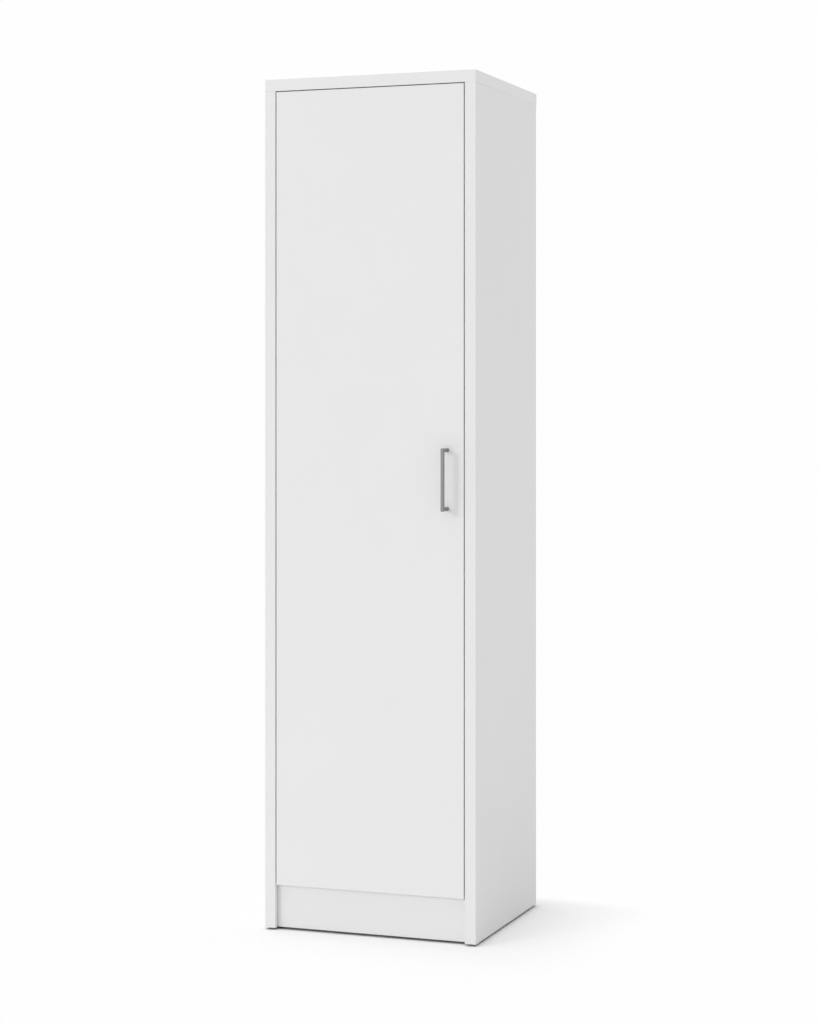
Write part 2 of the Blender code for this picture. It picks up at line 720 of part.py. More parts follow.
def build_hinge_arm(name, frame):
    """The channelled arm on the plate, its cranked neck, and a nose with two riveted pins."""
    seat = PLATE_FACE + PLATE_THICKNESS + SEAT_GAP
    roof = PLATE_FACE + PLATE_THICKNESS + PLATE_RIDGE_HEIGHT + SEAT_GAP
    crown = roof + NECK_THICKNESS
    back = ARM_START + ARM_LENGTH
    half = ARM_WIDTH / 2
    channel = rectangle((seat, ARM_START), (crown, back))
    arm = plate("hinge_arm_" + name, [channel], -half, half, frame, HINGE_FINISH)
    slot = PLATE_RIDGE_WIDTH / 2 + SEAT_GAP
    groove = rectangle((seat - CUT_THROUGH, ARM_START - CUT_THROUGH), (roof, back + CUT_THROUGH))
    cut(arm, plate("arm_groove", [groove], -slot, slot, frame))
    spine = crown - NECK_THICKNESS / 2
    nose = OUTER_ARM_PIN + Vector((0, NECK_CLEARANCE))
    path = [
        Vector((spine, ARM_START + ARM_LENGTH / 4)),
        Vector((spine, ARM_START)),
        nose + Vector((0, NECK_CLEARANCE)),
        nose,
    ]
    neck = strap_outline(rounded_path(path, NECK_BEND), NECK_THICKNESS)
    join(arm, plate("arm_neck", [neck], SEAT_GAP - half, half - SEAT_GAP, frame))
    tip = ARM_TIP_THICKNESS / 2
    web = [INNER_ARM_PIN, OUTER_ARM_PIN, nose + Vector((0, NECK_THICKNESS / 2))]
    join(arm, plate("arm_web", [strap_outline(web, 2 * ARM_TIP_RADIUS)], -tip, tip, frame))
    reach = LINK_LIFT + LINK_WIDTH + SEAT_GAP
    for pin, side in ((OUTER_ARM_PIN, 1), (INNER_ARM_PIN, -1)):
        post = frame @ at(pin.x, pin.y, 0, ALONG_Z if side > 0 else Matrix.Rotation(math.pi, 4, "X"))
        join(arm, rod("arm_boss", ARM_TIP_RADIUS, -tip, tip, post))
        join(arm, rod("arm_pin", PIN_RADIUS, 0, reach + PIN_HEAD_LENGTH / 2, post, steps=SMALL_STEPS))
        join(arm, rod("pin_head", PIN_HEAD_RADIUS, reach, reach + PIN_HEAD_LENGTH, post, steps=SMALL_STEPS))


def build_hinge_cup(name, frame, door, axis):
    """The flanged cup let into the door, with a stub pin for each link."""
    body = CUP_RADIUS - SEAT_GAP
    inside = body - CUP_WALL
    rim = SEAT_GAP + CUP_FLANGE
    across = frame @ at(CUP_CENTRE, 0, 0, ALONG_Y)
    lip = body + CUP_FLANGE_LIP
    cup = turned(
        "hinge_cup_" + name,
        [(0, rim), (lip, rim), (lip, SEAT_GAP), (body, SEAT_GAP), (body, -CUP_DEPTH), (0, -CUP_DEPTH)],
        across,
        HINGE_FINISH,
        CUP_STEPS,
    )
    ear_inset = CUP_FLANGE / 8
    holes = [circle((0, way * CUP_SCREW_SPACING / 2), CUP_SCREW_RADIUS) for way in (-1, 1)]
    ears = plate(
        "cup_ears",
        [stadium(CUP_EAR_WIDTH, CUP_EAR_LENGTH), *holes],
        SEAT_GAP + ear_inset,
        rim - ear_inset,
        across @ Matrix.Rotation(math.pi / 2, 4, "Z") @ at(CUP_EAR_OFFSET, 0, 0),
    )
    join(cup, ears)
    cut(cup, rod("cup_hollow", inside, CUP_FLOOR - CUP_DEPTH, rim + CUT_THROUGH, across, steps=CUP_STEPS))
    start = LINK_LIFT - SEAT_GAP
    collar = LINK_LIFT + LINK_WIDTH + SEAT_GAP
    for pin, side in ((OUTER_CUP_PIN, 1), (INNER_CUP_PIN, -1)):
        post = frame @ at(pin.x, pin.y, 0, ALONG_Z if side > 0 else Matrix.Rotation(math.pi, 4, "X"))
        stub = rod("cup_pin", PIN_RADIUS, start, CUP_RADIUS, post, steps=SMALL_STEPS)
        core = rod("cup_core", body - CUP_WALL / 2, -CUP_DEPTH, rim, across, steps=CUP_STEPS)
        boolean(stub, core, "INTERSECT")
        join(cup, stub)
        past = collar + PIN_HEAD_LENGTH
        join(cup, rod("cup_collar", PIN_HEAD_RADIUS, collar, past, post, steps=SMALL_STEPS))
    follow(cup, axis)
    cut(door, rod("cup_drilling", CUP_RADIUS, -CUP_DEPTH - SEAT_GAP, CUT_THROUGH, across, steps=CUP_STEPS))


def build_door():
    """The door, its handle and its hinges, each moving piece on its own axis."""
    outer_axis = pivot("outer_link_axis", OUTER_ARM_PIN)
    inner_axis = pivot("inner_link_axis", INNER_ARM_PIN)
    axis = pivot("door_axis", OUTER_CUP_PIN)
    follow(axis, outer_axis)
    door = box(
        "door_panel",
        (DOOR_LEFT, FRONT_Y, DOOR_BOTTOM),
        (DOOR_RIGHT, DOOR_BACK_Y, DOOR_TOP),
        BOARD_FINISH,
        EASED_EDGE,
    )
    follow(door, axis)
    build_handle(door, axis)
    running = PIN_RADIUS + PIN_RUNNING_GAP
    open_bore = PIN_RADIUS + OPEN_PIVOT_GAP
    upper = (LINK_LIFT, LINK_LIFT + LINK_WIDTH)
    lower = (-LINK_LIFT - LINK_WIDTH, -LINK_LIFT)
    outer_path = [OUTER_CUP_PIN, OUTER_LINK_KNEE, OUTER_ARM_PIN]
    inner_path = [INNER_LINK_EYE, INNER_LINK_KNEE, INNER_ARM_PIN]
    for name, height in hinge_heights().items():
        frame = at(DOOR_LEFT, DOOR_BACK_Y, height)
        build_hinge_plate(name, frame)
        build_hinge_arm(name, frame)
        build_hinge_cup(name, frame, door, axis)
        build_link("outer_link_" + name, frame, outer_path, *upper, (running, running), outer_axis)
        build_link("inner_link_" + name, frame, inner_path, *lower, (open_bore, running), inner_axis)


def main():
    boards = build_boards()
    build_cam_locks(boards)
    build_plinth_blocks()
    build_glides(boards)
    build_shelf_pins(boards)
    build_rail()
    build_buffers()
    build_door()


main()
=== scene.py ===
"""Looks of the tall single-door wardrobe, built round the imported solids.

Metres, +Z up, in the frame of the solids: the origin is on the floor under the middle of the
overall box, the door faces -Y and hangs on its left edge. Boards, bolts and blocks keep their solids
and get their finishes here, apart from the top, which is drawn down on the sides. The other hardware
is modelled again in more detail, with the screws and nails that the solids leave out.
"""

import logging
import math
from collections.abc import Callable, Iterator, Mapping, Sequence
from contextlib import contextmanager
from dataclasses import dataclass, field
from enum import Enum
from typing import Any, ClassVar

import bmesh
import bpy
from mathutils import Matrix, Quaternion, Vector

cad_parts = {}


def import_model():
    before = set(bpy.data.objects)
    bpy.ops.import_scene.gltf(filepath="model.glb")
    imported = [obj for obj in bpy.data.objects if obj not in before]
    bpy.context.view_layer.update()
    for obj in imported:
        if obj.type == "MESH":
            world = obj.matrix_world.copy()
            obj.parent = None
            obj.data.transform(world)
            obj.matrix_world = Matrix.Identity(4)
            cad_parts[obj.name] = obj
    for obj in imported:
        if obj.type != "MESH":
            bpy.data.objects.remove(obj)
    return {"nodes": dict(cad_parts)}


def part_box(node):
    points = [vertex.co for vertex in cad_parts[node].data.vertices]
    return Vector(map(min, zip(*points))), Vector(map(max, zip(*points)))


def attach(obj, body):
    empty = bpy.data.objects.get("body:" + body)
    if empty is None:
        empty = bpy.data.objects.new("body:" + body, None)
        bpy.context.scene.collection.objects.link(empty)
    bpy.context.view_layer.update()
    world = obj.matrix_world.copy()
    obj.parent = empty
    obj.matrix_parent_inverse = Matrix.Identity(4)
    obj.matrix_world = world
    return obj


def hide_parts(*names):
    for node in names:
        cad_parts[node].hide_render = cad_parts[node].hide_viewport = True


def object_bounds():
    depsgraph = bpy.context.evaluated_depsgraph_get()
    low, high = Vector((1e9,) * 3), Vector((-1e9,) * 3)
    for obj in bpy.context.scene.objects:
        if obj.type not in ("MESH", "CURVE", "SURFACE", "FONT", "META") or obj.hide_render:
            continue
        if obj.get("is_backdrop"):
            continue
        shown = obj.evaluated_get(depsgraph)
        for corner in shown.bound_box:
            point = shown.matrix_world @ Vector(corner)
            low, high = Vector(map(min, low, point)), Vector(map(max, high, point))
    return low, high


LOG = logging.getLogger("wardrobe")
MILLIMETRE = 0.001
WHITE = "#FFFFFF"
# Metres within which two places count as one, and within which points are merged
NEAR = 1e-5
DOUBLE = 1e-6
# Least share of a direction along another that counts as parallel, and the most that counts as square
PARALLEL = 0.99
SQUARE = 0.01
# Degrees below which faces count as one flat face, and above which the edge between them stays sharp
FLAT_DEG = 0.1
SHARP_DEG = 35.0
# Millimetres by which a half-round end stays short of full, so that its two roundings don't meet
SHORT_MM = 0.01
# Skew direction along which no two parts of a mesh have the same place
SKEW = Vector((1.0, 0.618, 0.272))

Profile = Sequence[tuple[float, float]]
Plan = tuple[float, float]
Place = tuple[float, float, float]
Test = Callable[[Vector, Vector], bool]


class Body(Enum):
    """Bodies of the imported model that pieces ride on."""

    CARCASS = "carcass"
    OUTER_LINKS = "hinge_outer_links"
    INNER_LINKS = "hinge_inner_links"
    DOOR = "door"


class Slot(Enum):
    """Material slots of the record."""

    BOARD = "white_faced_board"
    BACK = "hardboard"
    HANDLE = "handle_nickel"
    STEEL = "plated_steel"
    RAIL = "chromed_tube"
    SOCKET = "chromed_socket"
    ZINC = "zinc"
    NYLON = "pale_nylon"
    PLASTIC = "white_plastic"
    BUFFER = "clear_buffer"


class Way(Enum):
    """Directions in the frame, for someone who stands before the door."""

    LEFT = (-1.0, 0.0, 0.0)
    RIGHT = (1.0, 0.0, 0.0)
    FRONT = (0.0, -1.0, 0.0)
    BACK = (0.0, 1.0, 0.0)
    DOWN = (0.0, 0.0, -1.0)
    UP = (0.0, 0.0, 1.0)

    @property
    def vector(self) -> Vector:
        """The direction as a vector."""
        return Vector(self.value)


class Merge(Enum):
    """Ways to merge two workpieces."""

    JOIN = "UNION"
    CUT = "DIFFERENCE"


def linear(code: str) -> tuple[float, float, float, float]:
    """Turns an sRGB hex colour into linear values.

    Args:
        code: Six hex digits after a hash sign.

    Returns:
        Linear red, green and blue, and full opacity.
    """
    shares = [int(code[place:place + 2], 16) / 255 for place in (1, 3, 5)]
    red, green, blue = (
        share / 12.92 if share <= 0.04045 else ((share + 0.055) / 1.055) ** 2.4 for share in shares
    )
    return red, green, blue, 1.0


def per_metre(size_mm: float) -> float:
    """Gives how many grains of a size go in a metre."""
    return 1 / (size_mm * MILLIMETRE)


def feed(node: bpy.types.Node, inputs: Mapping[str | int, Any]) -> None:
    """Fills or links inputs of a node.

    Args:
        node: The node.
        inputs: Name or number of an input in use, to a value, or to the socket or node that feeds it.
    """
    in_use = [socket for socket in node.inputs if socket.enabled]
    named = {socket.name: socket for socket in in_use}
    for key, value in inputs.items():
        socket = in_use[key] if isinstance(key, int) else named[key]
        if isinstance(value, bpy.types.Node):
            value = next(output for output in value.outputs if output.enabled)
        if isinstance(value, bpy.types.NodeSocket):
            node.id_data.links.new(value, socket)
        else:
            socket.default_value = value


def add_node(
    tree: bpy.types.NodeTree, kind: str, inputs: Mapping[str | int, Any] | None = None, **settings: Any
) -> bpy.types.Node:
    """Adds a node with its settings, and feeds its inputs.

    Args:
        tree: Node tree that takes the node.
        kind: Blender's name for the kind of node, without ShaderNode before it.
        inputs: What feeds it, as feed takes it.
        settings: Properties of the node.

    Returns:
        The new node.
    """
    node = tree.nodes.new("ShaderNode" + kind)
    for name, value in settings.items():
        setattr(node, name, value)
    feed(node, inputs or {})
    return node


@dataclass(frozen=True)
class Coat:
    """A material in the making: its nodes, its shader, and Object coordinates in metres."""

    tree: bpy.types.NodeTree
    shader: bpy.types.Node
    place: bpy.types.NodeSocket


@dataclass(frozen=True)
class Finish:
    """A surface: what a piece is made of and how that was worked. The stage has no slot."""

    name: str
    slot: Slot | None

    def material(self) -> bpy.types.Material:
        """Gives the finish's material, which is made when it is first asked for.

        Returns:
            The node material.
        """
        made = bpy.data.materials.get(self.name)
        if made is None:
            made = bpy.data.materials.new(self.name)
            made.use_nodes = True
            tree = made.node_tree
            place = add_node(tree, "TexCoord").outputs["Object"]
            self.paint(Coat(tree, tree.nodes["Principled BSDF"], place))
        return made

    def paint(self, coat: Coat) -> None:
        """Adds the pattern's nodes and links them to the shader."""
        raise NotImplementedError


@dataclass(frozen=True)
class FacedBoard(Finish):
    """Melamine-faced chipboard with edging tape.

    The face is resin-soaked white paper pressed under a satin plate, so it is even, faintly pebbled
    and half matt. The tape on the edges is a little glossier, with a hairline where it meets the
    face. Edges that nobody sees are left as raw chipboard. Where such an edge faces the floor it gets
    painted shade instead: a dark grey that stands in for the shadow in the gap under the cabinet.
    """

    low: Vector
    high: Vector
    raw: tuple[Way, ...] = ()
    face: str = "#EAEAEA"
    face_shade: str = "#E6E6E6"
    hairline: str = "#DADADA"
    chip_dark: str = "#8A6C47"
    chip_light: str = "#C9AD82"
    # Painted shade for ends that face the floor, standing in for the shadow in the gap under the cabinet
    painted_shade_dark: str = "#424242"
    painted_shade_pale: str = "#525252"
    cloud_mm: float = 220.0
    pebble_mm: float = 0.9
    pebble_depth_mm: float = 0.05
    pebble_relief: float = 0.12
    chip_mm: float = 2.2
    tape_mm: float = 1.0
    hairline_mm: float = 0.16
    skin_mm: float = 0.3
    roughness: float = 0.42
    roughness_spread: float = 0.05
    tape_gloss: float = 0.08
    raw_roughness: float = 0.9
    ior: float = 1.5

    def paint(self, coat: Coat) -> None:
        """Adds the face, tape, hairline and raw edges.

        Args:
            coat: The material in the making.
        """
        tree, place = coat.tree, coat.place
        middle, half = (self.low + self.high) / 2, (self.high - self.low) / 2
        thin = min(range(3), key=lambda axis: half[axis])
        offset = add_node(tree, "VectorMath", {0: place, 1: middle}, operation="SUBTRACT")
        spread = add_node(tree, "VectorMath", {0: offset}, operation="ABSOLUTE")
        inside = add_node(tree, "VectorMath", {0: half, 1: spread}, operation="SUBTRACT")
        x, y, z = depths = add_node(tree, "SeparateXYZ", {0: inside}).outputs
        # On a face, the second least of the three depths is the distance from the nearest edge
        nearer = add_node(tree, "Math", {0: x, 1: y}, operation="MINIMUM")
        farther = add_node(tree, "Math", {0: x, 1: y}, operation="MAXIMUM")
        rest = add_node(tree, "Math", {0: farther, 1: z}, operation="MINIMUM")
        from_edge = add_node(tree, "Math", {0: nearer, 1: rest}, operation="MAXIMUM")
        skin = self.skin_mm * MILLIMETRE
        on_face = add_node(tree, "Math", {0: depths[thin], 1: skin}, operation="LESS_THAN")
        seam = {0: from_edge, 1: self.tape_mm * MILLIMETRE, 2: self.hairline_mm * MILLIMETRE}
        on_seam = add_node(tree, "Math", seam, operation="COMPARE")
        line = add_node(tree, "Math", {0: on_seam, 1: on_face}, operation="MULTIPLY")
        clouds = {"Vector": place, "Scale": per_metre(self.cloud_mm), "Detail": 3.0, "Roughness": 0.6}
        cloud = add_node(tree, "TexNoise", clouds)
        tones = {"Factor": cloud, "A": linear(self.face_shade), "B": linear(self.face)}
        face = add_node(tree, "Mix", tones, data_type="RGBA")
        lined = {"Factor": line, "A": face, "B": linear(self.hairline)}
        colour = add_node(tree, "Mix", lined, data_type="RGBA")
        pebbles = {"Vector": place, "Scale": per_metre(self.pebble_mm), "Detail": 2.0}
        pebble = add_node(tree, "TexNoise", pebbles)
        least, most = self.roughness - self.roughness_spread, self.roughness + self.roughness_spread
        gloss = add_node(tree, "MapRange", {"Value": pebble, "To Min": least, "To Max": most})
        less = {0: on_face, 1: self.tape_gloss, 2: -self.tape_gloss}
        taped = add_node(tree, "Math", less, operation="MULTIPLY_ADD")
        rough = add_node(tree, "Math", {0: gloss, 1: taped}, operation="ADD")
        for way in self.raw:
            colour, rough = self.bare_or_shaded_end(coat, way, offset, colour, rough)
        depth = self.pebble_depth_mm * MILLIMETRE
        relief = {"Height": pebble, "Strength": self.pebble_relief, "Distance": depth}
        bump = add_node(tree, "Bump", relief)
        feed(coat.shader, {"Base Color": colour, "Roughness": rough, "Normal": bump, "IOR": self.ior})

    def bare_or_shaded_end(
        self, coat: Coat, way: Way, offset: bpy.types.Node, colour: bpy.types.Node, rough: bpy.types.Node
    ) -> tuple[bpy.types.Node, bpy.types.Node]:
        """Lays raw chipboard over an end that has no tape, or painted shade if it faces the floor.

        Args:
            coat: The material in the making.
            way: The way that the end faces.
            offset: Place from the board's middle.
            colour: Colour so far.
            rough: Roughness so far.

        Returns:
            Colour and roughness with the raw end, or with its painted shade.
        """
        tree = coat.tree
        end = abs((self.high - self.low).dot(way.vector)) / 2 - self.skin_mm * MILLIMETRE
        reach = add_node(tree, "VectorMath", {0: offset, 1: way.value}, operation="DOT_PRODUCT")
        at_end = add_node(tree, "Math", {0: reach, 1: end}, operation="GREATER_THAN")
        pieces = {"Vector": coat.place, "Scale": per_metre(self.chip_mm), "Randomness": 1.0}
        chips = add_node(tree, "TexVoronoi", pieces).outputs["Color"]
        dark, light = self.chip_dark, self.chip_light
        # An end that faces the floor gets painted shade: dark grey that stands in for the shadow under the
        # cabinet
        if way is Way.DOWN:
            dark, light = self.painted_shade_dark, self.painted_shade_pale
        tones = {"Factor": chips, "A": linear(dark), "B": linear(light)}
        bare = add_node(tree, "Mix", tones, data_type="RGBA")
        mixed = add_node(tree, "Mix", {"Factor": at_end, "A": colour, "B": bare}, data_type="RGBA")
        dull = {"Factor": at_end, "A": rough, "B": self.raw_roughness}
        return mixed, add_node(tree, "Mix", dull, data_type="FLOAT")


@dataclass(frozen=True)
class Hardboard(Finish):
    """Thin pressed fibre board, painted white towards the inside and bare brown fibre outside."""

    paint_y: float
    white: str = "#E7E7E5"
    brown_dark: str = "#7C5B3B"
    brown_light: str = "#8E6B47"
    fibre_mm: float = 1.6
    fibre_depth_mm: float = 0.1
    fibre_relief: float = 0.3
    cloud_mm: float = 150.0
    contrast: tuple[float, float] = (0.12, 0.38)
    painted_roughness: float = 0.5
    bare_roughness: float = 0.8

    def paint(self, coat: Coat) -> None:
        """Adds the painted face and the fibre of the bare one.

        Args:
            coat: The material in the making.
        """
        tree, place = coat.tree, coat.place
        y = add_node(tree, "SeparateXYZ", {0: place}).outputs["Y"]
        bare = add_node(tree, "Math", {0: y, 1: self.paint_y}, operation="GREATER_THAN")
        clouds = {"Vector": place, "Scale": per_metre(self.cloud_mm), "Detail": 4.0}
        cloud = add_node(tree, "TexNoise", clouds)
        fibres = {"Vector": place, "Scale": per_metre(self.fibre_mm), "Detail": 6.0, "Distortion": 1.5}
        fibre = add_node(tree, "TexNoise", fibres)
        felt = add_node(tree, "Math", {0: cloud, 1: fibre}, operation="MULTIPLY")
        least, most = self.contrast
        tone = add_node(tree, "MapRange", {"Value": felt, "From Min": least, "From Max": most})
        tones = {"Factor": tone, "A": linear(self.brown_dark), "B": linear(self.brown_light)}
        brown = add_node(tree, "Mix", tones, data_type="RGBA")
        sides = {"Factor": bare, "A": linear(self.white), "B": brown}
        colour = add_node(tree, "Mix", sides, data_type="RGBA")
        duller = {"Factor": bare, "A": self.painted_roughness, "B": self.bare_roughness}
        rough = add_node(tree, "Mix", duller, data_type="FLOAT")
        depth = self.fibre_depth_mm * MILLIMETRE
        relief = {"Height": fibre, "Strength": self.fibre_relief, "Distance": depth}
        bump = add_node(tree, "Bump", relief)
        feed(coat.shader, {"Base Color": colour, "Roughness": rough, "Normal": bump})


@dataclass(frozen=True)
class Mottled(Finish):
    """A surface of one substance, whose colour, gloss and relief follow one fine noise.

    The grain has a size along each axis, and wear is the least and the most that it adds to the
    roughness.
    """

    dark: str
    light: str
    grain_mm: Place
    roughness: float
    relief: float
    relief_mm: float
    detail: float
    harshness: float = 0.5
    wear: tuple[float, float] = (-0.06, 0.1)
    metallic: float = 1.0

    def paint(self, coat: Coat) -> None:
        """Adds the noise and what follows it.

        Args:
            coat: The material in the making.
        """
        tree = coat.tree
        scale = tuple(per_metre(size_mm) for size_mm in self.grain_mm)
        lay = add_node(tree, "Mapping", {"Vector": coat.place, "Scale": scale})
        grains = {"Vector": lay, "Scale": 1.0, "Detail": self.detail, "Roughness": self.harshness}
        grain = add_node(tree, "TexNoise", grains)
        tones = {"Factor": grain, "A": linear(self.dark), "B": linear(self.light)}
        colour = add_node(tree, "Mix", tones, data_type="RGBA")
        rough = self.roughness
        if any(self.wear):
            least, most = (self.roughness + change for change in self.wear)
            rough = add_node(tree, "MapRange", {"Value": grain, "To Min": least, "To Max": most})
        depth = self.relief_mm * MILLIMETRE
        bump = add_node(tree, "Bump", {"Height": grain, "Strength": self.relief, "Distance": depth})
        surface = {"Base Color": colour, "Roughness": rough, "Normal": bump, "Metallic": self.metallic}
        feed(coat.shader, surface)


@dataclass(frozen=True)
class BrushedNickel(Mottled):
    """Nickel plate brushed along its length: a grey metal with soft streaks and stretched highlights."""

    dark: str = "#858585"
    light: str = "#959595"
    grain_mm: Place = (0.25, 0.25, 14.0)
    roughness: float = 0.42
    relief: float = 0.15
    relief_mm: float = 0.02
    detail: float = 3.0


@dataclass(frozen=True)
class Metal(Mottled):
    """Stamped, cast or drawn metal under a thin plate, with faint marks from handling."""

    dark: str = "#B9B9BB"
    light: str = "#CBCBCD"
    grain_mm: Place = (5.0, 5.0, 5.0)
    roughness: float = 0.25
    relief: float = 0.02
    relief_mm: float = 0.1
    detail: float = 5.0
    harshness: float = 0.65


@dataclass(frozen=True)
class Moulded(Mottled):
    """Moulded plastic or rubber with a fine spark-eroded grain and an even gloss."""

    dark: str = "#DADAD8"
    light: str = "#E6E6E4"
    grain_mm: Place = (0.5, 0.5, 0.5)
    roughness: float = 0.5
    relief: float = 0.2
    relief_mm: float = 0.05
    detail: float = 2.0
    wear: tuple[float, float] = (0.0, 0.0)
    metallic: float = 0.0


HANDLE_NICKEL = BrushedNickel("brushed_nickel", Slot.HANDLE)
PLATED_STEEL = Metal("nickel_plated_steel", Slot.STEEL)
CHROMED_TUBE = Metal(
    "chromed_steel_tube", Slot.RAIL, "#C2C3C5", "#D2D3D5", (12.0, 12.0, 12.0), roughness=0.14
)
SOCKET_METAL = Metal("chromed_zinc_casting", Slot.SOCKET, "#B4B5B7", "#CBCCCE", roughness=0.22)
CAM_METAL = Metal(
    "plain_zinc_casting", Slot.ZINC, "#8E9093", "#A9ABAE", (1.2, 1.2, 1.2), roughness=0.42, relief=0.2
)
PALE_NYLON = Moulded("natural_nylon", Slot.NYLON, "#CBCBC9", "#D6D6D4")
WHITE_PLASTIC = Moulded("white_polypropylene", Slot.PLASTIC)
CLEAR_BUFFER = Moulded("clear_polyurethane", Slot.BUFFER, "#C9CCCC", "#D6D9D9", roughness=0.25)


@dataclass(frozen=True)
class StudioFloor(Finish):
    """White painted floor that keeps the shadow close to the cabinet and fades into the backdrop.

    The backdrop's white glow is mixed in for the camera by the distance from the cabinet's box, as
    painted light that thins the cabinet's shadow, and sooner behind the cabinet, which fades the shadow
    there.
    """

    low: Vector
    high: Vector
    backdrop: float
    dark: str = "#FBFBFB"
    light: str = "#FDFDFD"
    grain_mm: float = 2.0
    shadow_reach: float = 0.28
    least_white: float = 0.25
    edge_reach: float = 0.02
    behind_fade: float = 3.0

    def paint(self, coat: Coat) -> None:
        """Adds the paint, and the backdrop's white.

        Args:
            coat: The material in the making.
        """
        tree, place = coat.tree, coat.place
        grain = add_node(tree, "TexNoise", {"Vector": place, "Scale": per_metre(self.grain_mm)})
        tones = {"Factor": grain, "A": linear(self.dark), "B": linear(self.light)}
        paint = add_node(tree, "Mix", tones, data_type="RGBA")
        feed(coat.shader, {"Base Color": paint, "Roughness": 1.0, "Specular IOR Level": 0.0})
        past_low = add_node(tree, "VectorMath", {0: self.low, 1: place}, operation="SUBTRACT")
        past_high = add_node(tree, "VectorMath", {0: place, 1: self.high}, operation="SUBTRACT")
        # Painted light: behind the cabinet the white glow comes sooner, fading its shadow there
        shares = (1.0, self.behind_fade, 1.0)
        sooner = add_node(tree, "VectorMath", {0: past_high, 1: shares}, operation="MULTIPLY")
        outside = add_node(tree, "VectorMath", {0: past_low, 1: sooner}, operation="MAXIMUM")
        clipped = add_node(tree, "VectorMath", {0: outside, 1: Vector()}, operation="MAXIMUM")
        away = add_node(tree, "VectorMath", {0: clipped}, operation="LENGTH")
        fade = {"Value": away, "From Max": self.shadow_reach, "To Min": self.least_white}
        white = add_node(tree, "MapRange", fade)
        clear = add_node(tree, "MapRange", {"Value": away, "From Max": self.edge_reach})
        kept = add_node(tree, "Math", {0: white, 1: clear}, operation="MULTIPLY")
        ray = add_node(tree, "LightPath").outputs["Is Camera Ray"]
        seen = add_node(tree, "Math", {0: kept, 1: ray}, operation="MULTIPLY")
        glow = add_node(tree, "Emission", {"Color": linear(WHITE), "Strength": self.backdrop})
        mixed = add_node(tree, "MixShader", {0: seen, 1: coat.shader, 2: glow})
        feed(tree.nodes["Material Output"], {"Surface": mixed})


@dataclass(frozen=True)
class Lamp:
    """A broad far lamp.

    It stands turned from the front towards the right and lifted above the horizon, in degrees. Its
    spread is how wide it looks from the cabinet, and its strength is in watts on a square metre.
    """

    name: str
    azimuth_deg: float
    height_deg: float
    spread_deg: float
    strength: float

    def build(self) -> None:
        """Hangs the lamp so that it shines on the origin."""
        data = bpy.data.lights.new(self.name, "SUN")
        data.angle = math.radians(self.spread_deg)
        data.energy = self.strength
        lamp = bpy.data.objects.new(self.name, data)
        turn, lift = math.radians(self.azimuth_deg), math.radians(self.height_deg)
        towards = Vector((math.sin(turn) * math.cos(lift), -math.cos(turn) * math.cos(lift), math.sin(lift)))
        lamp.rotation_euler = towards.to_track_quat("Z", "Y").to_euler()
        bpy.context.scene.collection.objects.link(lamp)


@dataclass
class Studio:
    """Plain pale floor, soft light and the camera at the photograph's angle."""

    yaw_deg: float = 20.222
    eye: Place = (1.8763, -5.0395, 1.1831)
    lens_mm: float = 82.81
    sensor_mm: float = 36.0
    shift_up: float = -0.109
    floor_size: float = 16.0
    sky: float = 0.67
    backdrop: float = 0.99
    lamps: tuple[Lamp, ...] = (
        Lamp("front_lamp", azimuth_deg=-36.0, height_deg=19.0, spread_deg=18.0, strength=0.61),
        Lamp("overhead_lamp", azimuth_deg=-75.0, height_deg=76.0, spread_deg=45.0, strength=0.85),
    )

    def build(self) -> None:
        """Sets the view transform and makes the camera, floor, sky and lamps."""
        bpy.context.scene.view_settings.view_transform = "Standard"
        self.set_camera()
        self.lay_floor()
        self.light_sky()
        for lamp in self.lamps:
            lamp.build()

    def set_camera(self) -> None:
        """Stands a level camera where the photograph was taken from."""
        data = bpy.data.cameras.new("photograph")
        data.lens = self.lens_mm
        data.sensor_width = self.sensor_mm
        data.shift_y = self.shift_up
        camera = bpy.data.objects.new("photograph", data)
        camera.location = self.eye
        camera.rotation_euler = (math.pi / 2, 0.0, math.radians(self.yaw_deg))
        bpy.context.scene.collection.objects.link(camera)
        bpy.context.scene.camera = camera

    def lay_floor(self) -> None:
        """Lays a white floor under the cabinet."""
        paint = StudioFloor("white_floor_paint", None, *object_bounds(), self.backdrop)
        bpy.ops.object.select_all(action="DESELECT")
        bpy.ops.mesh.primitive_plane_add(size=self.floor_size)
        floor = bpy.context.object
        floor.name = "studio_floor"
        floor.data.materials.append(paint.material())
        floor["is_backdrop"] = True

    def light_sky(self) -> None:
        """Lights the room from all round, and shows it white to the camera and in reflections."""
        world = bpy.data.worlds.new("studio")
        world.use_nodes = True
        bpy.context.scene.world = world
        tree = world.node_tree
        ray = add_node(tree, "LightPath").outputs
        shown = ray["Is Camera Ray"]
        for other in ("Is Glossy Ray", "Is Transmission Ray"):
            shown = add_node(tree, "Math", {0: shown, 1: ray[other]}, operation="MAXIMUM")
        levels = {"Value": shown, "To Min": self.sky, "To Max": self.backdrop}
        strength = add_node(tree, "MapRange", levels)
        feed(tree.nodes["Background"], {"Color": linear(WHITE), "Strength": strength})


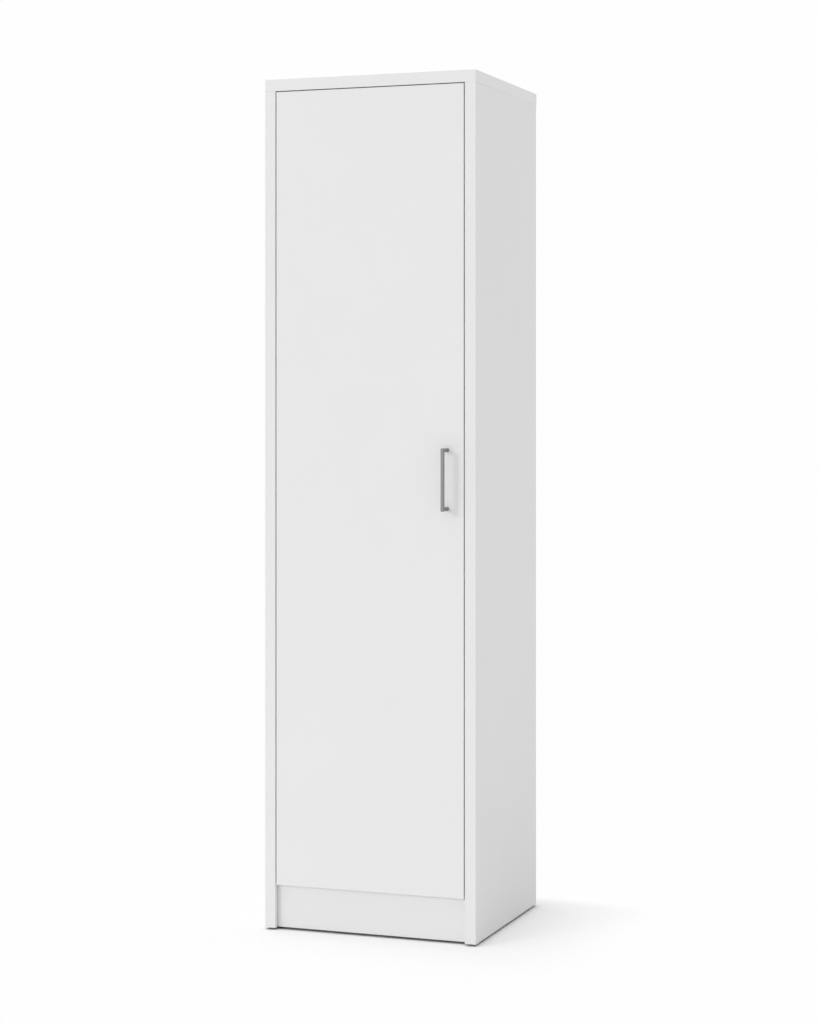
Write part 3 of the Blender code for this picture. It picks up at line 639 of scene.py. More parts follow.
class Workpiece:
    """A mesh on the bench: a primitive that operators shape into a finished piece."""

    def __init__(self, obj: bpy.types.Object) -> None:
        """Takes an object whose place is in its mesh."""
        self.obj = obj

    @classmethod
    def started(
        cls, maker: Callable[..., Any], stretch: Sequence[float] = (1.0, 1.0, 1.0), **settings: Any
    ) -> "Workpiece":
        """Adds a primitive with nothing else selected.

        Args:
            maker: Operator that adds the primitive.
            stretch: Scale along the primitive's own axes.
            settings: Its size and place.

        Returns:
            The new workpiece, with its place applied to its mesh.
        """
        bpy.ops.object.select_all(action="DESELECT")
        maker(**settings)
        bpy.context.object.scale = stretch
        bpy.ops.object.transform_apply(location=True, rotation=True, scale=True)
        return cls(bpy.context.object)

    @classmethod
    def block(cls, low: Sequence[float], high: Sequence[float]) -> "Workpiece":
        """Starts from a cube that fills the box between two corners."""
        low, high = Vector(low), Vector(high)
        return cls.started(bpy.ops.mesh.primitive_cube_add, high - low, size=1.0, location=(low + high) / 2)

    @classmethod
    def turned(cls, profile: Profile, foot: Sequence[float], way: Way, sides: int = 40) -> "Workpiece":
        """Turns a solid: a disc is pushed along an axis, ring by ring, and resized at each.

        Args:
            profile: Radius and height of every ring, in millimetres.
            foot: Where height zero is, in metres.
            way: Direction of the axis.
            sides: Facets round the axis.

        Returns:
            The new workpiece.
        """
        foot, axis = Vector(foot), way.vector
        radius, height = profile[0]
        piece = cls.started(
            bpy.ops.mesh.primitive_circle_add,
            vertices=sides,
            radius=radius * MILLIMETRE,
            fill_type="NGON",
            location=foot + axis * height * MILLIMETRE,
            rotation=axis.to_track_quat("Z", "Y").to_euler(),
        )
        with piece.edited():
            for wider, higher in profile[1:]:
                move = axis * (higher - height) * MILLIMETRE
                bpy.ops.mesh.extrude_region_move(TRANSFORM_OT_translate={"value": move})
                share = wider / radius
                bpy.ops.transform.resize(
                    value=(share, share, share), center_override=foot + axis * higher * MILLIMETRE
                )
                radius, height = wider, higher
        return piece.sorted_by_place()

    @classmethod
    def folded(
        cls, corners: Sequence[Vector], width_mm: float, wall_mm: float, bend_mm: float, steps: int
    ) -> "Workpiece":
        """Folds an upright strip: its end is pushed from corner to corner and the folds are rounded.

        Args:
            corners: Places of the strip's middle, at one height.
            width_mm: Height of the strip.
            wall_mm: Thickness of the sheet.
            bend_mm: Radius of the folds at the middle of the sheet.
            steps: Facets of a fold.

        Returns:
            The new workpiece.
        """
        start, second = corners[0], corners[1]
        run = second - start
        strip = cls.started(
            bpy.ops.mesh.primitive_plane_add,
            (run.length, width_mm * MILLIMETRE, 1.0),
            size=1.0,
            location=(start + second) / 2,
            rotation=(math.pi / 2, 0.0, math.atan2(run.y, run.x)),
        )
        with strip.edited("EDGE"):
            strip.pick_edges(lambda middle, run: (middle - second).length < NEAR, least_turn_deg=0.0)
            for here, there in zip(corners[1:], corners[2:]):
                bpy.ops.mesh.extrude_region_move(TRANSFORM_OT_translate={"value": there - here})
            for before, corner, after in zip(corners, corners[1:], corners[2:]):
                reach = bend_mm * MILLIMETRE * math.tan((corner - before).angle(after - corner) / 2)
                strip.pick_edges(lambda middle, run: (middle - corner).length < NEAR, least_turn_deg=0.0)
                bpy.ops.mesh.bevel(offset=reach, segments=steps, affect="EDGES")
        wall = wall_mm * MILLIMETRE
        strip.sorted_by_place()
        return strip.modified("SOLIDIFY", thickness=wall, offset=0.0, use_even_offset=True)

    @contextmanager
    def edited(self, kind: str = "FACE") -> Iterator[None]:
        """Opens the mesh for operators, with all of it selected.

        Args:
            kind: What is selected by itself, EDGE or FACE.

        Yields:
            Nothing.
        """
        self.taken()
        bpy.ops.object.mode_set(mode="EDIT")
        bpy.ops.mesh.select_mode(type=kind)
        bpy.ops.mesh.select_all(action="SELECT")
        yield
        bpy.ops.object.mode_set(mode="OBJECT")

    def taken(self) -> None:
        """Selects this piece alone."""
        bpy.ops.object.select_all(action="DESELECT")
        self.obj.select_set(True)
        bpy.context.view_layer.objects.active = self.obj

    def modified(self, kind: str, **settings: Any) -> "Workpiece":
        """Adds a modifier and applies it.

        Args:
            kind: Blender's name for the kind of modifier.
            settings: Its properties.

        Returns:
            This workpiece.
        """
        change = self.obj.modifiers.new(kind, kind)
        for name, value in settings.items():
            setattr(change, name, value)
        self.taken()
        bpy.ops.object.modifier_apply(modifier=change.name)
        return self

    def pick(self, test: Test) -> None:
        """Selects faces of the open mesh.

        Args:
            test: Takes a face's centre and normal and says whether it is wanted.
        """
        bpy.ops.mesh.select_all(action="DESELECT")
        shape = bmesh.from_edit_mesh(self.obj.data)
        shape.normal_update()
        for face in shape.faces:
            if test(face.calc_center_median(), face.normal):
                face.select_set(True)
        bmesh.update_edit_mesh(self.obj.data)

    def pick_edges(self, test: Test, least_turn_deg: float = 20.0) -> None:
        """Selects edges of the open mesh.

        Args:
            test: Takes an edge's middle and direction and says whether it is wanted.
            least_turn_deg: Edges between faces that turn less than this are passed over.
        """
        bpy.ops.mesh.select_all(action="DESELECT")
        shape = bmesh.from_edit_mesh(self.obj.data)
        shape.normal_update()
        for edge in shape.edges:
            one, two = (corner.co for corner in edge.verts)
            turns = edge.calc_face_angle(0.0) >= math.radians(least_turn_deg)
            if turns and test((one + two) / 2, (two - one).normalized()):
                edge.select_set(True)
        bmesh.update_edit_mesh(self.obj.data)

    def rounded(self, test: Test, radius_mm: float, steps: int = 5) -> "Workpiece":
        """Rounds picked edges.

        Args:
            test: Takes an edge's middle and direction and says whether it is wanted.
            radius_mm: Radius of the rounding.
            steps: Facets of the rounding.

        Returns:
            This workpiece.
        """
        with self.edited("EDGE"):
            self.pick_edges(test)
            bpy.ops.mesh.bevel(offset=radius_mm * MILLIMETRE, segments=steps, affect="EDGES")
        return self.tidied()

    def sorted_by_place(self) -> "Workpiece":
        """Puts points, edges and faces in the order of their places.

        Extruding leaves the faces in an order that varies between runs, and a cut can then come out
        a point apart.

        Returns:
            This workpiece.
        """
        shape = bmesh.new()
        shape.from_mesh(self.obj.data)
        shape.verts.sort(key=lambda corner: corner.co.dot(SKEW))
        shape.edges.sort(key=lambda edge: (edge.verts[0].co + edge.verts[1].co).dot(SKEW))
        shape.faces.sort(key=lambda face: face.calc_center_median().dot(SKEW))
        shape.to_mesh(self.obj.data)
        shape.free()
        return self

    def tidied(self) -> "Workpiece":
        """Merges doubles, clears spikes and lines on flat faces, and turns the faces outwards.

        Returns:
            This workpiece.
        """
        with self.edited():
            bpy.ops.mesh.remove_doubles(threshold=DOUBLE)
            bpy.ops.mesh.dissolve_degenerate(threshold=DOUBLE)
            bpy.ops.mesh.dissolve_limited(angle_limit=math.radians(FLAT_DEG))
            bpy.ops.mesh.normals_make_consistent(inside=False)
        return self

    def merged(self, other: "Workpiece", way: Merge) -> "Workpiece":
        """Joins another piece to this one or cuts it out, and uses the other one up.

        Args:
            other: The other piece.
            way: What becomes of it.

        Returns:
            This workpiece.
        """
        self.tidied()
        other.tidied()
        self.modified("BOOLEAN", object=other.obj, operation=way.value, solver="EXACT")
        bpy.data.meshes.remove(other.obj.data)
        return self.tidied()

    def copied(self, move: Matrix) -> "Workpiece":
        """Makes a moved copy with its own mesh.

        Args:
            move: From this piece's place to the copy's.

        Returns:
            The copy.
        """
        self.taken()
        bpy.ops.object.duplicate(linked=False)
        bpy.context.object.matrix_world = move
        bpy.ops.object.transform_apply(location=True, rotation=True, scale=True)
        return Workpiece(bpy.context.object)

    def finished(self, name: str, body: Body, finish: Finish, nodes: Sequence[str] = ()) -> None:
        """Closes seams, shades, dresses and hands over the piece.

        Args:
            name: The piece's name.
            body: Body that it rides on.
            finish: Its surface.
            nodes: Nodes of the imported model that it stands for.
        """
        self.tidied()
        bpy.ops.object.shade_smooth_by_angle(angle=math.radians(SHARP_DEG))
        self.modified("WEIGHTED_NORMAL", keep_sharp=True)
        self.obj.name = name
        self.obj.data.name = name
        self.obj.data.materials.clear()
        self.obj.data.materials.append(finish.material())
        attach(self.obj, body.value)
        if nodes:
            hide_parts(*nodes)
        LOG.info("%s: %d faces on %s", name, len(self.obj.data.polygons), body.value)

    def placed(
        self, name: str, body: Body, finish: Finish, moves: Mapping[str, Matrix], node: str | None = None
    ) -> None:
        """Finishes a copy of this pattern at each of its places, and throws the pattern away.

        Args:
            name: Start of the copies' names.
            body: Body that they ride on.
            finish: Their surface.
            moves: End of a copy's name, to the move from the pattern's place to the copy's.
            node: Start of the names of the nodes that they stand for, if there are any.
        """
        for end, move in moves.items():
            self.copied(move).finished(name + end, body, finish, [node + end] if node else ())
        bpy.data.meshes.remove(self.obj.data)


@dataclass(frozen=True)
class Screw:
    """A cross-recessed screw head on the start of its shank, sized in millimetres."""

    profile: Profile
    recess_mm: float = 4.4
    recess_depth_mm: float = 1.5
    recess_taper: float = 0.45
    blade_share: float = 0.25

    def shape(self, seat: Sequence[float], way: Way) -> Workpiece:
        """Turns the head and sinks the tapered cross in it.

        Args:
            seat: Where the profile's height zero is.
            way: The way the head faces.

        Returns:
            The screw, not yet dressed.
        """
        seat, out = Vector(seat), way.vector
        head = Workpiece.turned(self.profile, seat, way, sides=28)
        crown = self.profile[-1][1]
        floor = seat + out * (crown - self.recess_depth_mm) * MILLIMETRE
        taper = (self.recess_taper, self.recess_taper, self.recess_taper)
        for quarter in (0.0, math.pi / 2):
            turn = out.to_track_quat("Z", "Y") @ Quaternion(Way.UP.value, quarter)
            blade = Workpiece.started(
                bpy.ops.mesh.primitive_cube_add,
                (self.recess_mm, self.recess_mm * self.blade_share, 2 * self.recess_depth_mm),
                size=MILLIMETRE,
                location=seat + out * crown * MILLIMETRE,
                rotation=turn.to_euler(),
            )
            with blade.edited():
                blade.pick(lambda middle, normal: normal.dot(out) < -PARALLEL)
                bpy.ops.transform.resize(value=taper, center_override=floor)
            head.merged(blade, Merge.CUT)
        return head


OVAL_SCREW = Screw(
    ((1.7, -1.9), (1.7, -1.7), (4.0, -0.1), (4.2, 0.1), (4.0, 0.35), (3.3, 0.62), (2.2, 0.8), (1.0, 0.86))
)
SMALL_OVAL_SCREW = Screw(
    ((1.5, -0.85), (1.5, -0.8), (3.3, -0.05), (3.4, 0.1), (3.2, 0.4), (2.6, 0.66), (1.7, 0.82), (0.8, 0.88)),
    recess_mm=3.6,
    recess_depth_mm=1.2,
)
PAN_SCREW = Screw(
    ((1.9, -1.2), (1.9, 0.0), (3.7, 0.0), (3.9, 0.3), (3.85, 1.0), (3.4, 1.7), (2.5, 2.15), (1.2, 2.35))
)
# Drilling for an oval screw, from the face of what it holds
COUNTERSINK: Profile = ((2.0, -4.0), (2.0, -1.7), (4.4, 0.1), (4.4, 1.0))


def dress(nodes: Mapping[str, bpy.types.Object], names: Sequence[str], finish: Finish) -> None:
    """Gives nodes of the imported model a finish.

    Args:
        nodes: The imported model's objects by name.
        names: Those to dress.
        finish: Their surface.
    """
    for name in names:
        mesh = nodes[name].data
        mesh.materials.clear()
        mesh.materials.append(finish.material())
        LOG.info("%s: dressed in %s", name, finish.name)


def along(way: Way, behind: float = -math.inf) -> Test:
    """Gives a test for edges that run along a direction, behind a place on Y."""
    return lambda middle, run: abs(run.dot(way.vector)) > PARALLEL and middle.y > behind


def level(way: Way, place: float) -> Test:
    """Gives a test for edges that lie square to a direction, at one place along it."""
    axis = way.vector
    return lambda middle, run: abs(middle.dot(axis) - place) < NEAR and abs(run.dot(axis)) < SQUARE


def middle_of(node: str) -> Vector:
    """Gives the middle of a node's box."""
    low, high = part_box(node)
    return (low + high) / 2


@dataclass
class Boards:
    """The faced boards of the carcass and door, and the thin back."""

    raw_ends: ClassVar[dict[str, tuple[Way, ...]]] = {
        # Ends that face down get painted shade in place of raw chipboard
        "side_panel_left": (Way.BACK, Way.DOWN),
        "side_panel_right": (Way.BACK, Way.DOWN),
        "top_panel": (Way.BACK,),
        "base_panel": (Way.LEFT, Way.RIGHT, Way.BACK),
        "plinth": (Way.LEFT, Way.RIGHT, Way.DOWN),
        "hat_shelf": (Way.LEFT, Way.RIGHT, Way.BACK),
        "door_panel": (),
    }

    nodes: Mapping[str, bpy.types.Object]
    closing_mm: float = 0.27
    eased_mm: float = 0.5

    def build(self) -> None:
        """Gives every board a finish that knows its own edges, and shuts the joint under the top."""
        finishes = {
            name: FacedBoard("melamine_" + name, Slot.BOARD, *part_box(name), raw)
            for name, raw in self.raw_ends.items()
        }
        for name, finish in finishes.items():
            dress(self.nodes, [name], finish)
        self.shut_top(finishes["top_panel"])
        paint_y = middle_of("back_panel").y
        dress(self.nodes, ["back_panel"], Hardboard("fibre_back_board", Slot.BACK, paint_y))

    def shut_top(self, finish: Finish) -> None:
        """Copies the top and draws its eased underside down on the sides, as the cam locks do.

        Args:
            finish: The top's surface.
        """
        bpy.ops.object.select_all(action="DESELECT")
        copy = self.nodes["top_panel"].copy()
        copy.data = self.nodes["top_panel"].data.copy()
        bpy.context.scene.collection.objects.link(copy)
        top = Workpiece(copy)
        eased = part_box("top_panel")[0].z + self.eased_mm * MILLIMETRE
        with top.edited():
            bpy.ops.mesh.remove_doubles(threshold=DOUBLE)
            top.pick(lambda middle, normal: middle.z < eased)
            bpy.ops.transform.translate(value=Way.DOWN.vector * self.closing_mm * MILLIMETRE)
        top.finished("cabinet_top", Body.CARCASS, finish, ["top_panel"])


@dataclass
class BowHandle:
    """The die-cast handle: a square-ended bar on two posts that flare towards the door."""

    centres_mm: float = 128.0
    width_mm: float = 7.8
    depth_mm: float = 7.5
    rounding_mm: float = 2.3
    post: Profile = (
        (4.3, 0.0), (4.6, 0.3), (4.6, 5.5), (4.55, 6.8), (4.4, 8.2), (4.25, 9.6), (4.2, 11.0), (4.2, 28.5)
    )
    bore: Profile = ((2.3, -1.0), (2.3, 9.3))
    screw: Screw = Screw(
        (
            (1.2, -27.6), (2.0, -26.8), (2.0, 0.0), (4.0, 0.0), (4.2, 0.2), (4.15, 0.9), (3.7, 1.6),
            (2.8, 2.1), (1.4, 2.4),
        )
    )

    def build(self) -> None:
        """Models the handle and its two screws."""
        low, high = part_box("handle")
        middle = middle_of("handle")
        half, depth = self.width_mm * MILLIMETRE / 2, self.depth_mm * MILLIMETRE
        handle = Workpiece.block((middle.x - half, low.y, low.z), (middle.x + half, low.y + depth, high.z))
        handle.rounded(lambda middle, run: True, self.rounding_mm)
        for side in (-1, 1):
            foot = (middle.x, high.y, middle.z + side * self.centres_mm * MILLIMETRE / 2)
            handle.merged(Workpiece.turned(self.post, foot, Way.FRONT), Merge.JOIN)
            handle.merged(Workpiece.turned(self.bore, foot, Way.FRONT, sides=20), Merge.CUT)
        handle.finished("bow_handle", Body.DOOR, HANDLE_NICKEL, ["handle"])
        seat = middle_of("handle_screw_lower")
        seat.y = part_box("handle_screw_lower")[1].y - self.screw.profile[-1][1] * MILLIMETRE
        lift = Matrix.Translation(Way.UP.vector * self.centres_mm * MILLIMETRE)
        moves = {"lower": Matrix(), "upper": lift}
        screw = self.screw.shape(seat, Way.BACK)
        screw.placed("pan_screw_", Body.DOOR, PLATED_STEEL, moves, "handle_screw_")


@dataclass
class CupHinges:
    """Three concealed hinges: a plate and an arm on the side, a cup in the door, two links between.

    Plan places are millimetres from the door's hinge edge and behind its back face. Heights, and
    half heights, are millimetres from the hinge's middle.
    """

    hands: tuple[str, ...] = ("lower", "middle", "upper")
    outer_arm_pin: Plan = (29.5, 17.0)
    inner_arm_pin: Plan = (33.3, -0.6)
    outer_cup_pin: Plan = (9.3, -5.0)
    inner_cup_pin: Plan = (13.2, -7.3)
    inner_eye: Plan = (13.2, -8.25)
    outer_knee: Plan = (17.35, -7.45)
    inner_knee: Plan = (25.0, -8.5)
    front_mm: float = 39.0
    back_mm: float = 82.0
    past_mm: float = 2.0
    fit_mm: float = 0.3
    plate_mm: float = 2.0
    plate_round_mm: float = 3.0
    plate_eased_mm: float = 0.4
    plate_screw_in_mm: float = 6.5
    plate_screw_up_mm: float = 16.0
    wing_mm: float = 13.0
    wing_half_mm: float = 24.0
    wing_round_mm: float = 5.5
    tail_half_mm: float = 8.0
    ridge_mm: float = 6.0
    ridge_half_mm: float = 4.6
    ridge_inset_mm: float = 1.7
    ridge_round_mm: float = 1.0
    ridge_sunk_mm: float = 1.0
    arm_half_mm: float = 6.5
    arm_end_round_mm: float = 3.5
    arm_top_round_mm: float = 1.4
    groove_round_mm: float = 0.6
    slot_front_mm: float = 65.0
    slot_back_mm: float = 77.0
    slot_half_mm: float = 2.6
    fixing_screw_mm: float = 73.0
    setting_screw_mm: float = 57.0
    neck_mm: float = 2.4
    neck_height_mm: float = 12.4
    neck_root_mm: float = 10.75
    neck_bend_mm: float = 6.0
    nose_mm: float = 4.5
    web_mm: float = 6.0
    web_height_mm: float = 2.4
    web_root_mm: float = 1.2
    web_bend_mm: float = 8.0
    arm_pin: Profile = (
        (3.0, -1.2), (3.0, 1.2), (1.0, 1.2), (1.0, 6.6), (2.1, 6.6), (2.1, 6.95), (1.8, 7.25), (1.0, 7.4)
    )
    strap_mm: float = 1.6
    strap_height_mm: float = 4.8
    strap_up_mm: float = 3.9
    strap_bend_mm: float = 4.0
    running_mm: float = 1.3
    open_mm: float = 2.15
    eye_wall_mm: float = 1.1
    eye_eased_mm: float = 0.2
    eye_drill_mm: float = 4.0
    cup_across_mm: float = 21.5
    cup_wall_mm: float = 16.9
    cup: Profile = (
        (15.2, -13.0), (16.3, -12.7), (16.9, -12.1), (17.2, -11.0), (17.2, 0.3), (19.0, 0.3), (19.0, 1.0),
        (18.7, 1.3), (17.3, 1.3), (16.6, 0.9), (16.6, -10.6), (16.2, -11.6), (15.0, -12.2),
    )
    stub: Profile = ((1.0, 1.2), (1.0, 6.6), (2.1, 6.6), (2.1, 7.4), (1.0, 7.4))
    ear_across_mm: float = 27.5
    ear_half_width_mm: float = 7.5
    ear_half_mm: float = 31.0
    ear_under_mm: float = 0.42
    ear_face_mm: float = 1.2
    ear_eased_mm: float = 0.25
    ear_screw_up_mm: float = 24.0
    ear_opening: Profile = ((18.0, -2.0), (18.0, 4.0))
    ear_hole: Profile = ((1.8, -2.0), (1.8, 0.5), (3.5, 1.25), (3.5, 3.0))
    middles: dict[str, float] = field(init=False)
    corner: Vector = field(init=False)
    base_mm: float = field(init=False)
    face_mm: float = field(init=False)
    crown_mm: float = field(init=False)

    def __post_init__(self) -> None:
        """Finds the lowest hinge's corner of the door, and the heights that its plate and arm reach."""
        door_low, door_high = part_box("door_panel")
        self.middles = {hand: middle_of("hinge_cup_" + hand).z for hand in self.hands}
        self.corner = Vector((door_low.x, door_high.y, self.middles[self.hands[0]]))
        plate_low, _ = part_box("hinge_plate_" + self.hands[0])
        self.base_mm = (plate_low.x - door_low.x) / MILLIMETRE
        self.face_mm = self.base_mm + self.plate_mm
        self.crown_mm = self.face_mm + self.ridge_mm + self.fit_mm + self.neck_mm

    def spot(self, across: float, behind: float, up: float = 0.0) -> Vector:
        """Turns a place in the plan and a height, in millimetres, into metres in the frame."""
        return self.corner + Vector((across, behind, up)) * MILLIMETRE

    def slab(self, low: Place, high: Place) -> Workpiece:
        """Starts from a cube between two places of the plan."""
        return Workpiece.block(self.spot(*low), self.spot(*high))

    def build(self) -> None:
        """Models one of each piece at the lowest hinge and copies it to all of them."""
        kinds = (
            ("winged_plate_", Body.CARCASS, self.shape_plate(), "hinge_plate_"),
            ("cranked_arm_", Body.CARCASS, self.shape_arm(), "hinge_arm_"),
            ("outer_strap_", Body.OUTER_LINKS, self.shape_outer_link(), "outer_link_"),
            ("inner_strap_", Body.INNER_LINKS, self.shape_inner_link(), "inner_link_"),
            ("eared_cup_", Body.DOOR, self.shape_cup(), "hinge_cup_"),
            *self.shape_screws(),
        )
        moves = {hand: Matrix.Translation((0, 0, z - self.corner.z)) for hand, z in self.middles.items()}
        for name, body, pattern, node in kinds:
            pattern.placed(name, body, PLATED_STEEL, moves, node)

    def rear_ends(self) -> Test:
        """Gives a test for the upright corners at the rear of the plate and the arm."""
        return along(Way.RIGHT, behind=self.spot(0, (self.front_mm + self.back_mm) / 2).y)

    def shape_plate(self) -> Workpiece:
        """Models the winged plate with its ridge and countersunk holes.

        Returns:
            The plate at the lowest hinge.
        """
        base, face, front, back = self.base_mm, self.face_mm, self.front_mm, self.back_mm
        wing, wide, narrow = front + self.wing_mm, self.wing_half_mm, self.tail_half_mm
        plate = self.slab((base, front, -wide), (face, wing, wide))
        plate.rounded(along(Way.RIGHT), self.wing_round_mm, steps=8)
        tail = self.slab((base, front, -narrow), (face, back, narrow))
        plate.merged(tail.rounded(self.rear_ends(), self.plate_round_mm), Merge.JOIN)
        inner = [self.spot(0, wing, height).yz for height in (-narrow, narrow)]
        upright = along(Way.RIGHT)
        plate.rounded(
            lambda middle, run: upright(middle, run)
            and any((middle.yz - corner).length < NEAR for corner in inner),
            self.plate_round_mm,
        )
        plate.rounded(level(Way.RIGHT, self.spot(face, 0).x), self.plate_eased_mm, steps=2)
        top, half, inset = face + self.ridge_mm, self.ridge_half_mm, self.ridge_inset_mm
        ridge = self.slab((face - self.ridge_sunk_mm, front + inset, -half), (top, back - inset, half))
        ridge.rounded(level(Way.RIGHT, self.spot(top, 0).x), self.ridge_round_mm, steps=3)
        plate.merged(ridge, Merge.JOIN)
        for up in (-self.plate_screw_up_mm, self.plate_screw_up_mm):
            seat = self.spot(face, front + self.plate_screw_in_mm, up)
            plate.merged(Workpiece.turned(COUNTERSINK, seat, Way.RIGHT, sides=32), Merge.CUT)
        return plate

    def shape_arm(self) -> Workpiece:
        """Models the channelled arm, its cranked neck, and the nose with two riveted pins.

        Returns:
            The arm at the lowest hinge.
        """
        front, back, past, crown = self.front_mm, self.back_mm, self.past_mm, self.crown_mm
        seat, roof = self.face_mm + self.fit_mm, crown - self.neck_mm
        half, bed = self.arm_half_mm, self.ridge_half_mm + self.fit_mm
        arm = self.slab((seat, front, -half), (crown, back, half))
        arm.rounded(self.rear_ends(), self.arm_end_round_mm)
        arm.rounded(level(Way.RIGHT, self.spot(crown, 0).x), self.arm_top_round_mm)
        groove = self.slab((seat - past, front - past, -bed), (roof, back + past, bed))
        groove.rounded(level(Way.RIGHT, self.spot(roof, 0).x), self.groove_round_mm, steps=2)
        arm.merged(groove, Merge.CUT)
        narrow = self.slot_half_mm
        slot = self.slab((seat, self.slot_front_mm, -narrow), (crown + past, self.slot_back_mm, narrow))
        arm.merged(slot.rounded(along(Way.RIGHT), narrow - SHORT_MM, steps=7), Merge.CUT)
        spine = crown - self.neck_mm / 2
        across, behind = self.outer_arm_pin
        nose = behind + self.nose_mm
        root, elbow = front + self.neck_root_mm, nose + self.nose_mm
        path = ((spine, root), (spine, front), (across, elbow), (across, nose))
        bends = [self.spot(*place) for place in path]
        neck = Workpiece.folded(bends, self.neck_height_mm, self.neck_mm, self.neck_bend_mm, steps=8)
        arm.merged(neck, Merge.JOIN)
        path = (self.inner_arm_pin, self.outer_arm_pin, (across, nose + self.web_root_mm))
        bends = [self.spot(*place) for place in path]
        web = Workpiece.folded(bends, self.web_height_mm, self.web_mm, self.web_bend_mm, steps=4)
        arm.merged(web, Merge.JOIN)
        for pin, way in ((self.outer_arm_pin, Way.UP), (self.inner_arm_pin, Way.DOWN)):
            arm.merged(Workpiece.turned(self.arm_pin, self.spot(*pin), way, sides=32), Merge.JOIN)
        return arm

    def shape_link(self, path: Sequence[Plan], up: float, bores: Sequence[float]) -> Workpiece:
        """Folds a strap and gives each end an eye.

        Args:
            path: Plan places of the first eye, the knee and the last eye.
            up: Height of the strap's middle.
            bores: Radius of the hole in the first and last eye.

        Returns:
            The link at the lowest hinge.
        """
        corners = [self.spot(*place, up) for place in path]
        link = Workpiece.folded(corners, self.strap_height_mm, self.strap_mm, self.strap_bend_mm, steps=8)
        half, eased = self.strap_height_mm / 2, self.eye_eased_mm
        ends = list(zip((corners[0], corners[-1]), bores))
        for corner, bore in ends:
            wall = bore + self.eye_wall_mm
            eye = ((wall - eased, -half), (wall, eased - half), (wall, half - eased), (wall - eased, half))
            link.merged(Workpiece.turned(eye, corner, Way.UP, sides=32), Merge.JOIN)
        for corner, bore in ends:
            drill = ((bore, -self.eye_drill_mm), (bore, self.eye_drill_mm))
            link.merged(Workpiece.turned(drill, corner, Way.UP, sides=28), Merge.CUT)
        return link

    def shape_outer_link(self) -> Workpiece:
        """Models the outer link, which runs on both of its pins."""
        path = (self.outer_cup_pin, self.outer_knee, self.outer_arm_pin)
        return self.shape_link(path, self.strap_up_mm, (self.running_mm, self.running_mm))

    def shape_inner_link(self) -> Workpiece:
        """Models the inner link, whose eye at the cup is open."""
        path = (self.inner_eye, self.inner_knee, self.inner_arm_pin)
        return self.shape_link(path, -self.strap_up_mm, (self.open_mm, self.running_mm))

    def shape_cup(self) -> Workpiece:
        """Models the drawn cup with its flange, screw ears and stub pins.

        Returns:
            The cup at the lowest hinge.
        """
        centre = self.spot(self.cup_across_mm, 0)
        cup = Workpiece.turned(self.cup, centre, Way.BACK, sides=72)
        across, wide, half = self.ear_across_mm, self.ear_half_width_mm, self.ear_half_mm
        ears = self.slab((across - wide, self.ear_under_mm, -half), (across + wide, self.ear_face_mm, half))
        ears.rounded(along(Way.BACK), wide - SHORT_MM, steps=10)
        ears.rounded(level(Way.BACK, self.spot(0, self.ear_face_mm).y), self.ear_eased_mm, steps=2)
        ears.merged(Workpiece.turned(self.ear_opening, centre, Way.BACK, sides=72), Merge.CUT)
        cup.merged(ears, Merge.JOIN)
        for up in (-self.ear_screw_up_mm, self.ear_screw_up_mm):
            drill = Workpiece.turned(self.ear_hole, self.spot(across, 0, up), Way.BACK, sides=28)
            cup.merged(drill, Merge.CUT)
        for pin, way in ((self.outer_cup_pin, Way.UP), (self.inner_cup_pin, Way.DOWN)):
            reach = math.sqrt(self.cup_wall_mm**2 - (pin[0] - self.cup_across_mm) ** 2)
            stub = (*self.stub, (self.stub[-1][0], reach))
            cup.merged(Workpiece.turned(stub, self.spot(*pin), way, sides=24), Merge.JOIN)
        return cup

    def shape_screws(self) -> Iterator[tuple[str, Body, Workpiece, None]]:
        """Models the screws of the plate, the cup's ears and the arm.

        Yields:
            Name, body and pattern of each screw at the lowest hinge, which stands for no node.
        """
        plate = (self.face_mm, self.front_mm + self.plate_screw_in_mm)
        ear = (self.ear_across_mm, self.ear_face_mm)
        pairs = (
            ("plate_screw_", Body.CARCASS, OVAL_SCREW, plate, self.plate_screw_up_mm, Way.RIGHT),
            ("ear_screw_", Body.DOOR, SMALL_OVAL_SCREW, ear, self.ear_screw_up_mm, Way.BACK),
        )
        for name, body, screw, place, up, way in pairs:
            for row, height in (("below_", -up), ("above_", up)):
                yield name + row, body, screw.shape(self.spot(*place, height), way), None
        singles = (
            ("fixing_screw_", PAN_SCREW, self.fixing_screw_mm),
            ("setting_screw_", SMALL_OVAL_SCREW, self.setting_screw_mm),
        )
        for name, screw, behind in singles:
            yield name, Body.CARCASS, screw.shape(self.spot(self.crown_mm, behind), Way.RIGHT), None


